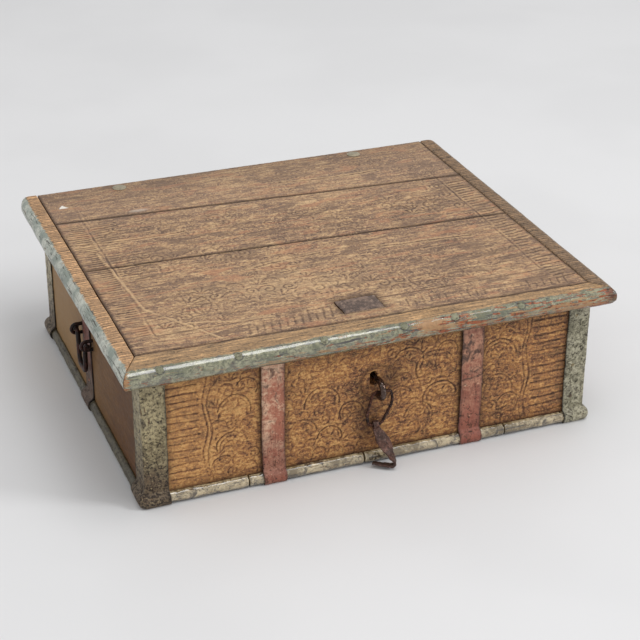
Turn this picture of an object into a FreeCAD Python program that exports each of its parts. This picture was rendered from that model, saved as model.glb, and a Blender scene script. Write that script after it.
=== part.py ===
import FreeCAD, Part
import math
import os

# A low merchant's chest: four wall panels on a half-round plinth, wrapped in
# iron straps, under a three-plank lid with a rounded nosing.
# Millimetres. The origin is on the floor under the middle of the body,
# +X runs right along the front, +Y runs to the back and +Z is up.

# Overall sizes
BODY_W = 600.0            # across the side panels' outer faces
BODY_D = 505.0            # across the front and back panels' outer faces
HEIGHT = 200.0            # floor to lid top
LID_T = 26.0              # lid thickness, also the nosing's full round
LID_SEAT = 0.3            # lid underside above the walls' top edge

# Walls and bottom
WALL_T = 20.0
CORNER_LAP = 10.0         # how far a side panel's end enters the front or back panel
FLOOR_T = 16.0            # bottom boards, flush with the walls' lower edge
FLOOR_LAP = 10.0          # rebate in the walls that takes the bottom boards
FLOOR_JOINTS = (-95.0, 95.0)
BOARD_GAP = 0.8
JOINT_CLEAR = 0.1         # slack in a wood joint

# Plinth moulding
PLINTH_H = 16.0           # a full half round of this height
PLINTH_FLAT = 0.5         # flat before the round starts
PLINTH_GAP = 1.5          # open butt joints
PLINTH_FRONT_JOINTS = (-169.0, -14.0, 184.0)
PLINTH_SIDE_JOINT = -7.0  # y of the butt joint in each side

# Straps
STRAP_T = 1.8
STRAP_SEAT = 0.2          # strap off the wood it is nailed to
STRAP_TOP_GAP = 0.8       # strap end below the walls' top edge
STRAP_FOOT_R = 5.0        # hollow bend above the plinth
FRONT_STRAP_W = 30.0
FRONT_STRAP_X = 135.0
SIDE_STRAP_W = 38.0
SIDE_STRAP_Y = 15.0
CORNER_LEAF_X = 29.0      # leaf on the front or back
CORNER_LEAF_Y = 35.0      # leaf on the side
STRAP_NAIL_SHARES = (0.22, 0.49, 0.914)  # nail heights, as shares of the strap's
STRAP_NAIL_EDGE = 11.0    # corner strap nails in from the leaf's free edge
STRAP_NAIL_SPREAD = 18.0  # between the two nails halfway up a front strap
STRAP_NAIL_HEAD_D = 5.0
STRAP_NAIL_HEAD_H = 0.8
STRAP_NAIL_D = 3.0
STRAP_NAIL_L = 16.0
NAIL_FACETS = 8           # hammered sides of every nail's head
NAIL_CROWN = 0.5          # flat on top of a nail's head, as a share of its width

# Lid
LID_FRONT_OVER = 25.5     # nosing in front of the front panel
LID_BACK_OVER = 32.5      # back plank behind the back panel
MOULDING_W = 27.0         # side mouldings, outside the side panels' faces
NOSING_W_LEFT = 46.0      # the nosing tapers along its length
NOSING_W_RIGHT = 29.5
BACK_PLANK_W_LEFT = 110.0
BACK_PLANK_W_RIGHT = 146.0
MIDDLE_PLANK_W_LEFT = 161.0
MIDDLE_PLANK_W_RIGHT = 150.0
PLANK_GAP = 1.2
TONGUE_T = 9.0            # plank end tongues in the side mouldings
TONGUE_L = 8.0
BACK_CORNER_R = 14.0      # plan rounding of the lid's back corners
NOSING_NAILS_X = (-281.0, -184.0, -75.0, 30.0, 99.0, 190.0)
NOSING_NAIL_TILT = 55.0   # degrees above level
NOSING_NAIL_HEAD_D = 10.0
NOSING_NAIL_HEAD_H = 1.0
NOSING_NAIL_D = 4.0
NOSING_NAIL_L = 22.0
PLATE_W = 57.0            # iron plate let into the front plank
PLATE_D = 38.0
PLATE_T = 2.5
PLATE_SINK = 0.6          # plate below the lid's face
PLATE_FROM_FRONT = 79.0   # nosing front to the middle of the plate
BATTEN_W = 45.0
BATTEN_T = 16.0
BATTEN_X = 160.0
BATTEN_END = 18.0         # batten ends inside the front and back panels
BATTEN_NAIL_HEAD_D = 9.0
BATTEN_NAIL_HEAD_H = 1.5
BATTEN_NAIL_D = 4.0
BATTEN_NAIL_L = 28.0

# Strap hinges under the back overhang
HINGE_X = 183.0
HINGE_W = 48.0
HINGE_PIN_D = 6.0
HINGE_LEAF_T = 2.5
HINGE_SEAT = 0.4          # leaf off the wood
HINGE_KNUCKLE_GAP = 0.5
HINGE_RUN = 0.05          # radial play of the pin in the lid's knuckle
HINGE_FIT = 0.02          # radial play of the pin in the wall's knuckles
WALL_LEAF_L = 46.0        # below the hinge axis
LID_LEAF_L = 23.0         # behind the hinge axis
PIN_HEAD_D = 9.0
PIN_HEAD_L = 2.0
RIVET_D = 6.0
RIVET_HEAD_D = 20.0
RIVET_CROWN_D = 12.0      # flat on top of the rivet's head
RIVET_HEAD_H = 1.5
RIVET_FROM_AXIS = 10.5    # rivet behind the hinge axis
LEAF_NAIL_DROP = 33.0     # wall leaf nails below the hinge axis
LEAF_NAIL_SPREAD = 24.0   # between a wall leaf's two nails
LEAF_NAIL_HEAD_D = 8.0
LEAF_NAIL_HEAD_H = 1.2
LEAF_NAIL_D = 4.0
LEAF_NAIL_L = 18.0

# Hasp on the front
STAPLE_X = 5.0
STAPLE_Z = 107.0
STAPLE_BAR = 8.5
STAPLE_SPAN = 21.0        # between the two legs' middles
STAPLE_OUT = 22.0         # projection from the panel
STAPLE_TAIL = 14.0        # clenched leg along the inside of the panel
HOLE_CLEAR = 0.15         # staple legs in their holes
CLENCH_BEND = 0.55        # bend of a clenched leg's middle line, in bar diameters
KEYHOLE_X = -0.5
KEYHOLE_Z = 120.0
KEYHOLE_W = 11.0
KEYHOLE_H = 20.0
LINK_WIRE = 4.0
LINK_PLAY = 0.5           # link wire off the staple
LINK_H = 46.0
LINK_TOP_LEFT = 9.0       # top corners either side of the staple
LINK_TOP_RIGHT = 15.5
LINK_TOP_R = 5.5
LINK_BULGE_LEFT = 17.5    # widest points either side of the staple
LINK_BULGE_RIGHT = 18.0
LINK_BULGE_LEFT_DROP = 31.0   # widest points below the top bar
LINK_BULGE_RIGHT_DROP = 17.0
LINK_BULGE_R = 24.0
LINK_BOTTOM_LEFT = 14.5   # bottom corners either side of the staple
LINK_BOTTOM_RIGHT = 3.0
LINK_BOTTOM_R = 5.5
HOOK_X = -0.3             # middle of the hook's eye
HOOK_EYE_W = 8.0
HOOK_EYE_WALL = 2.6
HOOK_EYE_PLAY = 0.5
HOOK_T = 3.0
HOOK_BEND = (22.0, -23.0) # bend of the hook from its eye, right and back
HOOK_BEND_Z = 3.6         # bend above the floor
HOOK_TAIL = (-29.0, 15.0, 2.2)  # tip of the tail from the bend
HOOK_BEND_R = 4.0
HOOK_NECK_W = 8.0
HOOK_BELLY_W = 18.0
HOOK_BEND_W = 13.0
HOOK_TIP_W = 7.0
HOOK_FULL = 0.5           # share of the shank where it is widest and starts to twist
HOOK_STEPS = 6            # sections in each stretch of the strip

# Drop handles on the sides
HANDLE_Y = 15.0
HANDLE_Z = 104.0
HANDLE_SPAN = 54.0        # between the two staples
HANDLE_OUT = 9.0          # bail axis from the panel
BAIL_D = 6.5
BAIL_PLAY = 0.7           # bail off its staples
BAIL_DROP = 45.0
BAIL_SHOULDER = 9.0       # arms start this far inside the staples
BAIL_END = 8.0            # ends stick out this far past the staples
BAIL_FOOT_W = 34.0        # width at the grip, between the arms' middles
BAIL_SHOULDER_R = 6.0
BAIL_FOOT_R = 11.0
BAIL_KNOB_D = 9.5
BAIL_KNOB_L = 4.0
EYE_BAR = 5.0
EYE_TAIL = 10.0

# Values worked out from the driving sizes
HALF_W = BODY_W / 2
HALF_D = BODY_D / 2
LID_Z = HEIGHT - LID_T
RIM_Z = LID_Z - LID_SEAT
PLINTH_R = PLINTH_H / 2
PLINTH_OUT = PLINTH_FLAT + PLINTH_R
STRAP_OUT = STRAP_SEAT + STRAP_T
STRAP_TOP = RIM_Z - STRAP_TOP_GAP
LID_R = LID_T / 2
LID_FRONT = -HALF_D - LID_FRONT_OVER
LID_BACK = HALF_D + LID_BACK_OVER
LID_HALF_W = HALF_W + MOULDING_W
NOSE_LEFT = LID_FRONT + NOSING_W_LEFT
NOSE_RIGHT = LID_FRONT + NOSING_W_RIGHT
SEAM_BACK = (LID_BACK - BACK_PLANK_W_LEFT, LID_BACK - BACK_PLANK_W_RIGHT)
SEAM_FRONT = (SEAM_BACK[0] - MIDDLE_PLANK_W_LEFT, SEAM_BACK[1] - MIDDLE_PLANK_W_RIGHT)
HINGE_R = HINGE_PIN_D / 2 + HINGE_LEAF_T
HINGE_Y = HALF_D + HINGE_SEAT + HINGE_R
HINGE_Z = LID_Z - HINGE_SEAT - HINGE_R
REACH = BODY_W + BODY_D   # longer than any piece
SAME_POINT = 1e-6         # points closer than this are one


def vec(x, y, z):
    """A point or direction."""
    return FreeCAD.Vector(x, y, z)


X_AXIS = vec(1, 0, 0)
Y_AXIS = vec(0, 1, 0)
Z_AXIS = vec(0, 0, 1)


def block(x0, x1, y0, y1, z0, z1):
    """A box between two corners."""
    return Part.makeBox(x1 - x0, y1 - y0, z1 - z0, vec(x0, y0, z0))


def rod(start, direction, diameter, length):
    """A round bar from a start point."""
    return Part.makeCylinder(diameter / 2, length, start, direction)


def plan_prism(points, z0, z1):
    """An upright prism over a plan outline."""
    corners = [vec(x, y, z0) for x, y in points]
    face = Part.Face(Part.makePolygon(corners + corners[:1]))
    return face.extrude(vec(0, 0, z1 - z0))


def rounded_path(points, radii):
    """Straight runs through the points, with each inner corner rounded.

    The edges come in order. A closed path starts in the middle of a side and
    repeats its first point at the end.
    """
    edges = []
    last = points[0]
    for before, corner, after, radius in zip(points, points[1:], points[2:], radii):
        back = (before - corner).normalize()
        ahead = (after - corner).normalize()
        half = back.getAngle(ahead) / 2
        run = radius / math.tan(half)
        start, end = corner + back * run, corner + ahead * run
        middle_way = (back + ahead).normalize()
        centre = corner + middle_way * (radius / math.sin(half))
        if not last.isEqual(start, SAME_POINT):
            edges.append(Part.LineSegment(last, start).toShape())
        edges.append(Part.Arc(start, centre - middle_way * radius, end).toShape())
        last = end
    edges.append(Part.LineSegment(last, points[-1]).toShape())
    return edges


def bent_bar(points, radii, diameter):
    """A round bar bent along a rounded path: straight lengths and turned bends."""
    lengths = []
    for edge in rounded_path(points, radii):
        start, way = edge.valueAt(edge.FirstParameter), edge.tangentAt(edge.FirstParameter)
        disc = Part.Face(Part.Wire(Part.makeCircle(diameter / 2, start, way)))
        if isinstance(edge.Curve, Part.Circle):
            turn = math.degrees(edge.Length / edge.Curve.Radius)
            lengths.append(disc.revolve(edge.Curve.Center, edge.Curve.Axis, turn))
        else:
            lengths.append(disc.extrude(way * edge.Length))
    return lengths[0].multiFuse(lengths[1:]).removeSplitter()


def outline(middle, outward, across, sides):
    """A regular outline of so many sides, square to a direction."""
    turn = FreeCAD.Rotation(Z_AXIS, outward)
    radius = across / 2 / math.cos(math.pi / sides)
    points = []
    for k in range(sides):
        angle = 2 * math.pi * (k + 0.5) / sides
        points.append(middle + turn.multVec(vec(radius * math.cos(angle), radius * math.sin(angle), 0)))
    return Part.makePolygon(points + points[:1])


def nail(seat, outward, head_d, head_h, shank_d, length):
    """A forged nail: a facetted head that stands on its seat and a square shank below it."""
    base = outline(seat, outward, head_d, NAIL_FACETS)
    crown = outline(seat + outward * head_h, outward, head_d * NAIL_CROWN, NAIL_FACETS)
    shank = Part.Face(outline(seat, outward, shank_d, 4)).extrude(outward * -length)
    return Part.makeLoft([base, crown], True, True).fuse(shank).removeSplitter()


def drilled(shape, tools):
    """A piece with its nails' or staples' holes cut."""
    for tool in tools:
        if shape.BoundBox.intersect(tool.BoundBox):
            shape = shape.cut(tool)
    return shape


def save(name, shapes):
    """Write one node: a solid, or a group of separate solids."""
    solids = [solid for shape in shapes for solid in shape.Solids]
    for solid in solids:
        if not solid.isValid() or solid.Volume <= 0:
            raise ValueError(name + " has a bad solid")
    shape = solids[0] if len(solids) == 1 else Part.makeCompound(solids)
    shape.exportStep(os.path.join("parts", name + ".step"))


# Plinth and strap outlines


def wrap_side(half, offset, hollow):
    """Half of the body's outline, from the floor up, grown by an offset.

    The outline goes round the plinth's nose, through a hollow bend and up the
    wall. Points are (distance from the middle, height).
    """
    nose_x, nose_z = half + PLINTH_FLAT, PLINTH_R
    radius = PLINTH_R + offset
    foot = (nose_x + math.sqrt(radius ** 2 - PLINTH_R ** 2), 0.0)
    front = (nose_x + radius, nose_z)
    bend_x = half + offset + hollow
    bend_z = nose_z + math.sqrt((radius + hollow) ** 2 - (bend_x - nose_x) ** 2)
    share = radius / (radius + hollow)
    meet = (nose_x + (bend_x - nose_x) * share, nose_z + (bend_z - nose_z) * share)
    turn = math.atan2(meet[1] - bend_z, meet[0] - bend_x) + math.pi
    bend = (bend_x - hollow * math.cos(turn / 2), bend_z - hollow * math.sin(turn / 2))
    wall = (half + offset, bend_z)
    return foot, front, meet, bend, wall, (half + offset, STRAP_TOP)


def wrap_face(half, offset, hollow, place):
    """The body's whole cross-section, with place putting a point in space."""
    right = [place(u, z) for u, z in wrap_side(half, offset, hollow)]
    left = [place(-u, z) for u, z in wrap_side(half, offset, hollow)]
    edges = [Part.LineSegment(left[0], right[0]).toShape()]
    for side in (right, left):
        edges.append(Part.Arc(side[0], side[1], side[2]).toShape())
        edges.append(Part.Arc(side[2], side[3], side[4]).toShape())
        edges.append(Part.LineSegment(side[4], side[5]).toShape())
    edges.append(Part.LineSegment(left[5], right[5]).toShape())
    return Part.Face(Part.Wire(Part.__sortEdges__(edges)))


def wrap_solid(offset, hollow):
    """The body and plinth as one block, grown by an offset, mitred at the corners."""
    across = wrap_face(HALF_D, offset, hollow, lambda u, z: vec(-REACH / 2, u, z))
    along = wrap_face(HALF_W, offset, hollow, lambda u, z: vec(u, -REACH / 2, z))
    return across.extrude(X_AXIS * REACH).common(along.extrude(Y_AXIS * REACH))


def nose_profile(half, place):
    """Plinth cross-section through both sides of the body."""
    nose = half + PLINTH_FLAT
    low = [place(-nose, 0), place(nose, 0)]
    high = [place(-nose, PLINTH_H), place(nose, PLINTH_H)]
    tips = [place(-nose - PLINTH_R, PLINTH_R), place(nose + PLINTH_R, PLINTH_R)]
    edges = [
        Part.LineSegment(low[0], low[1]).toShape(),
        Part.Arc(low[1], tips[1], high[1]).toShape(),
        Part.LineSegment(high[1], high[0]).toShape(),
        Part.Arc(high[0], tips[0], low[0]).toShape(),
    ]
    return Part.Face(Part.Wire(edges))


def plinth_ring():
    """The half-round moulding round the body, mitred at the corners."""
    across = nose_profile(HALF_D, lambda u, z: vec(-REACH / 2, u, z))
    along = nose_profile(HALF_W, lambda u, z: vec(u, -REACH / 2, z))
    ring = across.extrude(X_AXIS * REACH).common(along.extrude(Y_AXIS * REACH))
    return ring.cut(block(-HALF_W, HALF_W, -HALF_D, HALF_D, 0, PLINTH_H))


def plinth_pieces():
    """The moulding cut at its mitres and at its butt joints."""
    ring = plinth_ring()
    out = 2 * PLINTH_OUT
    corners = {
        (sx, sy): ((sx * HALF_W, sy * HALF_D), (sx * (HALF_W + out), sy * (HALF_D + out)))
        for sx in (-1, 1) for sy in (-1, 1)
    }

    def region(first, second):
        inner1, outer1 = corners[first]
        inner2, outer2 = corners[second]
        return ring.common(plan_prism([inner1, outer1, outer2, inner2], 0, PLINTH_H))

    half_gap = PLINTH_GAP / 2
    pieces = {"plinth_back": region((1, 1), (-1, 1))}
    front = region((-1, -1), (1, -1))
    cuts = [-REACH / 2, *PLINTH_FRONT_JOINTS, REACH / 2]
    for number, (x0, x1) in enumerate(zip(cuts, cuts[1:]), 1):
        length = block(x0 + half_gap, x1 - half_gap, -REACH, 0, 0, PLINTH_H)
        pieces["plinth_front_%d" % number] = front.common(length)
    for name, sx in (("left", -1), ("right", 1)):
        side = region((sx, -1), (sx, 1))
        fore = block(-REACH, REACH, -REACH, PLINTH_SIDE_JOINT - half_gap, 0, PLINTH_H)
        aft = block(-REACH, REACH, PLINTH_SIDE_JOINT + half_gap, REACH, 0, PLINTH_H)
        pieces["plinth_%s_front" % name] = side.common(fore)
        pieces["plinth_%s_back" % name] = side.common(aft)
    return pieces


def strap_pieces():
    """Corner, front and side straps, cut from one sheet wrapped round the body."""
    outer = wrap_solid(STRAP_OUT, STRAP_FOOT_R)
    sheet = outer.cut(wrap_solid(STRAP_SEAT, STRAP_FOOT_R + STRAP_T))
    far = REACH / 2
    pieces = {}
    for end, sy in (("front", -1), ("back", 1)):
        for side, sx in (("left", -1), ("right", 1)):
            x0, x1 = sorted((sx * (HALF_W - CORNER_LEAF_X), sx * far))
            y0, y1 = sorted((sy * (HALF_D - CORNER_LEAF_Y), sy * far))
            window = block(x0, x1, y0, y1, 0, HEIGHT)
            pieces["corner_strap_%s_%s" % (end, side)] = sheet.common(window)
    for side, sx in (("left", -1), ("right", 1)):
        middle = sx * FRONT_STRAP_X
        window = block(middle - FRONT_STRAP_W / 2, middle + FRONT_STRAP_W / 2, -far, 0, 0, HEIGHT)
        pieces["front_strap_" + side] = sheet.common(window)
        x0, x1 = sorted((0, sx * far))
        window = block(x0, x1, SIDE_STRAP_Y - SIDE_STRAP_W / 2, SIDE_STRAP_Y + SIDE_STRAP_W / 2, 0, HEIGHT)
        pieces["side_strap_" + side] = sheet.common(window)
    return pieces


def strap_nails():
    """Nails through the straps into the panels."""
    foot, middle, top = (share * STRAP_TOP for share in STRAP_NAIL_SHARES)
    face_y = HALF_D + STRAP_OUT
    seats = []
    for sx in (-1, 1):
        face_x = sx * (HALF_W + STRAP_OUT)
        for z in (foot, middle, top):
            for sy in (-1, 1):
                leaf_x = sx * (HALF_W - CORNER_LEAF_X + STRAP_NAIL_EDGE)
                leaf_y = sy * (HALF_D - CORNER_LEAF_Y + STRAP_NAIL_EDGE)
                seats.append((vec(leaf_x, sy * face_y, z), Y_AXIS * sy))
                seats.append((vec(face_x, leaf_y, z), X_AXIS * sx))
            seats.append((vec(face_x, SIDE_STRAP_Y, z), X_AXIS * sx))
        for shift, z in ((0, foot), (-STRAP_NAIL_SPREAD / 2, middle), (STRAP_NAIL_SPREAD / 2, middle), (0, top)):
            seats.append((vec(sx * FRONT_STRAP_X + shift, -face_y, z), Y_AXIS * -1))
    return [
        nail(seat, outward, STRAP_NAIL_HEAD_D, STRAP_NAIL_HEAD_H, STRAP_NAIL_D, STRAP_NAIL_L)
        for seat, outward in seats
    ]


# Walls and bottom


def wall_panels():
    """Four panels: the front and back are rebated for the sides, all four for the bottom."""
    inner_w, inner_d = HALF_W - WALL_T, HALF_D - WALL_T
    lap_d = inner_d + CORNER_LAP
    bottom = block(
        -inner_w - FLOOR_LAP, inner_w + FLOOR_LAP,
        -inner_d - FLOOR_LAP, inner_d + FLOOR_LAP, 0, FLOOR_T)
    panels = {}
    for name, sy in (("front_panel", -1), ("back_panel", 1)):
        y0, y1 = sorted((sy * inner_d, sy * HALF_D))
        panel = block(-HALF_W, HALF_W, y0, y1, 0, RIM_Z)
        for sx in (-1, 1):
            x0, x1 = sorted((sx * (inner_w - JOINT_CLEAR), sx * HALF_W))
            lap0, lap1 = sorted((sy * inner_d, sy * (lap_d + JOINT_CLEAR)))
            panel = panel.cut(block(x0, x1, lap0, lap1, 0, RIM_Z))
        panels[name] = panel.cut(bottom)
    for name, sx in (("left_panel", -1), ("right_panel", 1)):
        x0, x1 = sorted((sx * inner_w, sx * HALF_W))
        panels[name] = block(x0, x1, -lap_d, lap_d, 0, RIM_Z).cut(bottom)
    return panels


def bottom_boards():
    """Boards that run front to back in the walls' rebate."""
    half_x = HALF_W - WALL_T + FLOOR_LAP - JOINT_CLEAR
    half_y = HALF_D - WALL_T + FLOOR_LAP - JOINT_CLEAR
    edges = [-half_x - BOARD_GAP / 2, *FLOOR_JOINTS, half_x + BOARD_GAP / 2]
    names = ("bottom_board_left", "bottom_board_middle", "bottom_board_right")
    return {
        name: block(x0 + BOARD_GAP / 2, x1 - BOARD_GAP / 2, -half_y, half_y, 0, FLOOR_T)
        for name, x0, x1 in zip(names, edges, edges[1:])
    }


def keyhole():
    """The worn upright hole beside the staple, right through the front panel."""
    radius = KEYHOLE_W / 2
    rise = (KEYHOLE_H - KEYHOLE_W) / 2
    start = vec(KEYHOLE_X, -HALF_D, KEYHOLE_Z)
    slot = block(
        KEYHOLE_X - radius, KEYHOLE_X + radius, -HALF_D, -HALF_D + WALL_T,
        KEYHOLE_Z - rise, KEYHOLE_Z + rise)
    for lift in (-rise, rise):
        slot = slot.fuse(rod(start + Z_AXIS * lift, Y_AXIS, KEYHOLE_W, WALL_T))
    return slot


# Staples, hasp and handles


def staple(middle, outward, span, bar, out, tail):
    """A staple through a wall, with its legs clenched on the inside.

    The middle is on the wall's outer face. The crown is a half round of the
    span, and the clenched tails lie flat along the wall's inner face.
    """
    clench_r = bar * CLENCH_BEND
    inside = outward * -(WALL_T + clench_r + JOINT_CLEAR)
    crown = outward * (out - bar / 2)
    up = Z_AXIS * (span / 2)
    spread = Z_AXIS * (span / 2 + tail)
    points = [
        middle + inside + spread, middle + inside + up, middle + crown + up,
        middle + crown - up, middle + inside - up, middle + inside - spread,
    ]
    return bent_bar(points, [clench_r, span / 2, span / 2, clench_r], bar)


def staple_holes(middle, outward, span, bar):
    """Holes for a staple's two legs."""
    return [
        rod(middle + Z_AXIS * lift + outward * bar, outward * -1, bar + 2 * HOLE_CLEAR, WALL_T + 2 * bar)
        for lift in (-span / 2, span / 2)
    ]


HASP_SEAT = vec(STAPLE_X, -HALF_D, STAPLE_Z)
LINK_DROP = STAPLE_SPAN / 2 - STAPLE_BAR / 2 - LINK_WIRE / 2 - LINK_PLAY
LINK_AXIS_Y = -HALF_D - (STAPLE_OUT - STAPLE_BAR / 2 - STAPLE_SPAN / 2)
LINK_AXIS_Z = STAPLE_Z - LINK_DROP
HOOK_AXIS_Z = LINK_AXIS_Z - LINK_H


def hasp_link():
    """A slanted oval wire link, closed, hanging in the staple."""
    start = vec(STAPLE_X, LINK_AXIS_Y, LINK_AXIS_Z)
    corners = [
        (LINK_TOP_RIGHT, 0, LINK_TOP_R),
        (LINK_BULGE_RIGHT, LINK_BULGE_RIGHT_DROP, LINK_BULGE_R),
        (LINK_BOTTOM_RIGHT, LINK_H, LINK_BOTTOM_R),
        (-LINK_BOTTOM_LEFT, LINK_H, LINK_BOTTOM_R),
        (-LINK_BULGE_LEFT, LINK_BULGE_LEFT_DROP, LINK_BULGE_R),
        (-LINK_TOP_LEFT, 0, LINK_TOP_R),
    ]
    points = [start + vec(x, 0, -drop) for x, drop, radius in corners]
    return bent_bar([start, *points, start], [radius for x, drop, radius in corners], LINK_WIRE)


def hook_sections():
    """Middle point, strip direction, width direction and width along the hook, eye to tip."""
    eye_r = LINK_WIRE / 2 + HOOK_EYE_PLAY
    start = vec(HOOK_X, LINK_AXIS_Y, HOOK_AXIS_Z - eye_r - HOOK_EYE_WALL / 2)
    bend = vec(HOOK_X + HOOK_BEND[0], LINK_AXIS_Y + HOOK_BEND[1], HOOK_BEND_Z)
    tip = bend + vec(*HOOK_TAIL)
    down = (bend - start).normalize()
    back = (tip - bend).normalize()
    fold = down.cross(back).normalize()
    sweep = down.getAngle(back)
    half = math.pi / 2 - sweep / 2
    run = HOOK_BEND_R / math.tan(half)
    centre = bend + (back - down).normalize() * (HOOK_BEND_R / math.sin(half))
    shank_end, tail_start = bend - down * run, bend + back * run
    sections = []
    for step in range(HOOK_STEPS + 1):
        share = step / HOOK_STEPS
        swell = min(1, share / HOOK_FULL)
        twist = max(0, (share - HOOK_FULL) / (1 - HOOK_FULL))
        width = HOOK_NECK_W + (HOOK_BELLY_W - HOOK_NECK_W) * math.sin(math.pi / 2 * swell)
        width += (HOOK_BEND_W - HOOK_BELLY_W) * twist
        side = X_AXIS * (1 - twist) + fold * twist
        sections.append((start + (shank_end - start) * share, down, side, width))
    spoke = shank_end - centre
    for step in range(1, HOOK_STEPS):
        turn = FreeCAD.Rotation(fold, math.degrees(sweep) * step / HOOK_STEPS)
        sections.append((centre + turn.multVec(spoke), turn.multVec(down), fold, HOOK_BEND_W))
    for step in range(HOOK_STEPS + 1):
        share = step / HOOK_STEPS
        width = HOOK_BEND_W + (HOOK_TIP_W - HOOK_BEND_W) * share
        sections.append((tail_start + (tip - tail_start) * share, back, fold, width))
    return sections


def hasp_hook():
    """A flat twisted strip with a rolled eye above and a bent tail below."""
    wires = []
    for spot, along, side, width in hook_sections():
        thick = along.cross(side).normalize() * (HOOK_T / 2)
        side = thick.cross(along).normalize() * (width / 2)
        corners = [spot + side + thick, spot - side + thick, spot - side - thick, spot + side - thick]
        wires.append(Part.makePolygon(corners + corners[:1]))
    strip = Part.makeLoft(wires, True, True)
    eye_r = LINK_WIRE / 2 + HOOK_EYE_PLAY
    eye_start = vec(HOOK_X - HOOK_EYE_W / 2, LINK_AXIS_Y, HOOK_AXIS_Z)
    eye = rod(eye_start, X_AXIS, 2 * (eye_r + HOOK_EYE_WALL), HOOK_EYE_W)
    return eye.fuse(strip).cut(rod(eye_start, X_AXIS, 2 * eye_r, HOOK_EYE_W)).removeSplitter()


EYE_SPAN = BAIL_D + EYE_BAR + 2 * BAIL_PLAY
EYE_OUT = HANDLE_OUT + EYE_SPAN / 2 + EYE_BAR / 2


def handle_eye_seats(sx):
    """Where a side's two handle staples enter the panel, front one first."""
    return [
        vec(sx * HALF_W, HANDLE_Y + sy * HANDLE_SPAN / 2, HANDLE_Z) for sy in (-1, 1)
    ]


def handle_bail(sx):
    """A drop bail whose knobbed ends turn in the two staples."""
    axis = vec(sx * (HALF_W + HANDLE_OUT), HANDLE_Y, HANDLE_Z)
    end = HANDLE_SPAN / 2 + BAIL_END
    shoulder = HANDLE_SPAN / 2 - BAIL_SHOULDER
    points = [
        axis + Y_AXIS * end, axis + Y_AXIS * shoulder,
        axis + vec(0, BAIL_FOOT_W / 2, -BAIL_DROP), axis + vec(0, -BAIL_FOOT_W / 2, -BAIL_DROP),
        axis - Y_AXIS * shoulder, axis - Y_AXIS * end,
    ]
    bail = bent_bar(points, [BAIL_SHOULDER_R, BAIL_FOOT_R, BAIL_FOOT_R, BAIL_SHOULDER_R], BAIL_D)
    for sy in (-1, 1):
        bail = bail.fuse(rod(axis + Y_AXIS * (sy * end), Y_AXIS * -sy, BAIL_KNOB_D, BAIL_KNOB_L))
    return bail.removeSplitter()


# Lid


def nose_bar(outline_half, start, along, outward, length):
    """A lid edge with a full round nose; start is under the nose's tip line."""
    inner = outward * -outline_half
    centre = outward * -LID_R
    low, high = start, start + Z_AXIS * LID_T
    edges = [
        Part.LineSegment(low + inner, low + centre).toShape(),
        Part.Arc(low + centre, start + Z_AXIS * LID_R, high + centre).toShape(),
        Part.LineSegment(high + centre, high + inner).toShape(),
        Part.LineSegment(high + inner, low + inner).toShape(),
    ]
    return Part.Face(Part.Wire(edges)).extrude(along * length)


def lid_nosing():
    """The front nosing, tapered in plan and mitred at both ends."""
    start = vec(-LID_HALF_W, LID_FRONT, LID_Z)
    bar = nose_bar(2 * NOSING_W_LEFT, start, X_AXIS, Y_AXIS * -1, 2 * LID_HALF_W)
    half_gap = PLANK_GAP / 2
    plan = [
        (-LID_HALF_W, LID_FRONT), (LID_HALF_W, LID_FRONT),
        (HALF_W, NOSE_RIGHT - half_gap), (-HALF_W, NOSE_LEFT - half_gap),
    ]
    return bar.common(plan_prism(plan, LID_Z, HEIGHT))


def lid_moulding(sx, nose_y):
    """A side moulding: mitred in front, rounded behind and grooved for the plank tongues."""
    length = LID_BACK - LID_FRONT
    start = vec(sx * LID_HALF_W, LID_FRONT, LID_Z)
    bar = nose_bar(MOULDING_W - PLANK_GAP / 2, start, Y_AXIS, X_AXIS * sx, length)
    plan = [
        (sx * HALF_W, nose_y + PLANK_GAP / 2), (sx * LID_HALF_W, LID_FRONT + PLANK_GAP / 2),
        (sx * LID_HALF_W, LID_BACK), (sx * HALF_W, LID_BACK),
    ]
    prism = plan_prism(plan, LID_Z, HEIGHT)
    corner = [edge for edge in prism.Edges if is_upright(edge, sx * LID_HALF_W, LID_BACK)]
    moulding = bar.common(prism.makeFillet(BACK_CORNER_R, corner))
    x0, x1 = sorted((sx * HALF_W, sx * (HALF_W + TONGUE_L + JOINT_CLEAR)))
    half = TONGUE_T / 2 + JOINT_CLEAR
    return moulding.cut(block(x0, x1, LID_FRONT, LID_BACK, LID_Z + LID_R - half, LID_Z + LID_R + half))


def is_upright(edge, x, y):
    """Whether an edge stands at a plan point."""
    return all(vec(v.X, v.Y, 0).isEqual(vec(x, y, 0), SAME_POINT) for v in edge.Vertexes)


def lid_plank(front, back):
    """A plank between two slanted seams, given as (left, right) y values, with end tongues."""
    half_gap = PLANK_GAP / 2
    half_w = HALF_W - half_gap
    slope_front = (front[1] - front[0]) / BODY_W
    slope_back = (back[1] - back[0]) / BODY_W

    def plan(half):
        return [
            (-half, front[0] + slope_front * (HALF_W - half) + half_gap),
            (half, front[1] - slope_front * (HALF_W - half) + half_gap),
            (half, back[1] - slope_back * (HALF_W - half) - half_gap),
            (-half, back[0] + slope_back * (HALF_W - half) - half_gap),
        ]

    middle = LID_Z + LID_R
    tongue = plan_prism(plan(HALF_W + TONGUE_L), middle - TONGUE_T / 2, middle + TONGUE_T / 2)
    return plan_prism(plan(half_w), LID_Z, HEIGHT).fuse(tongue).removeSplitter()


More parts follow.
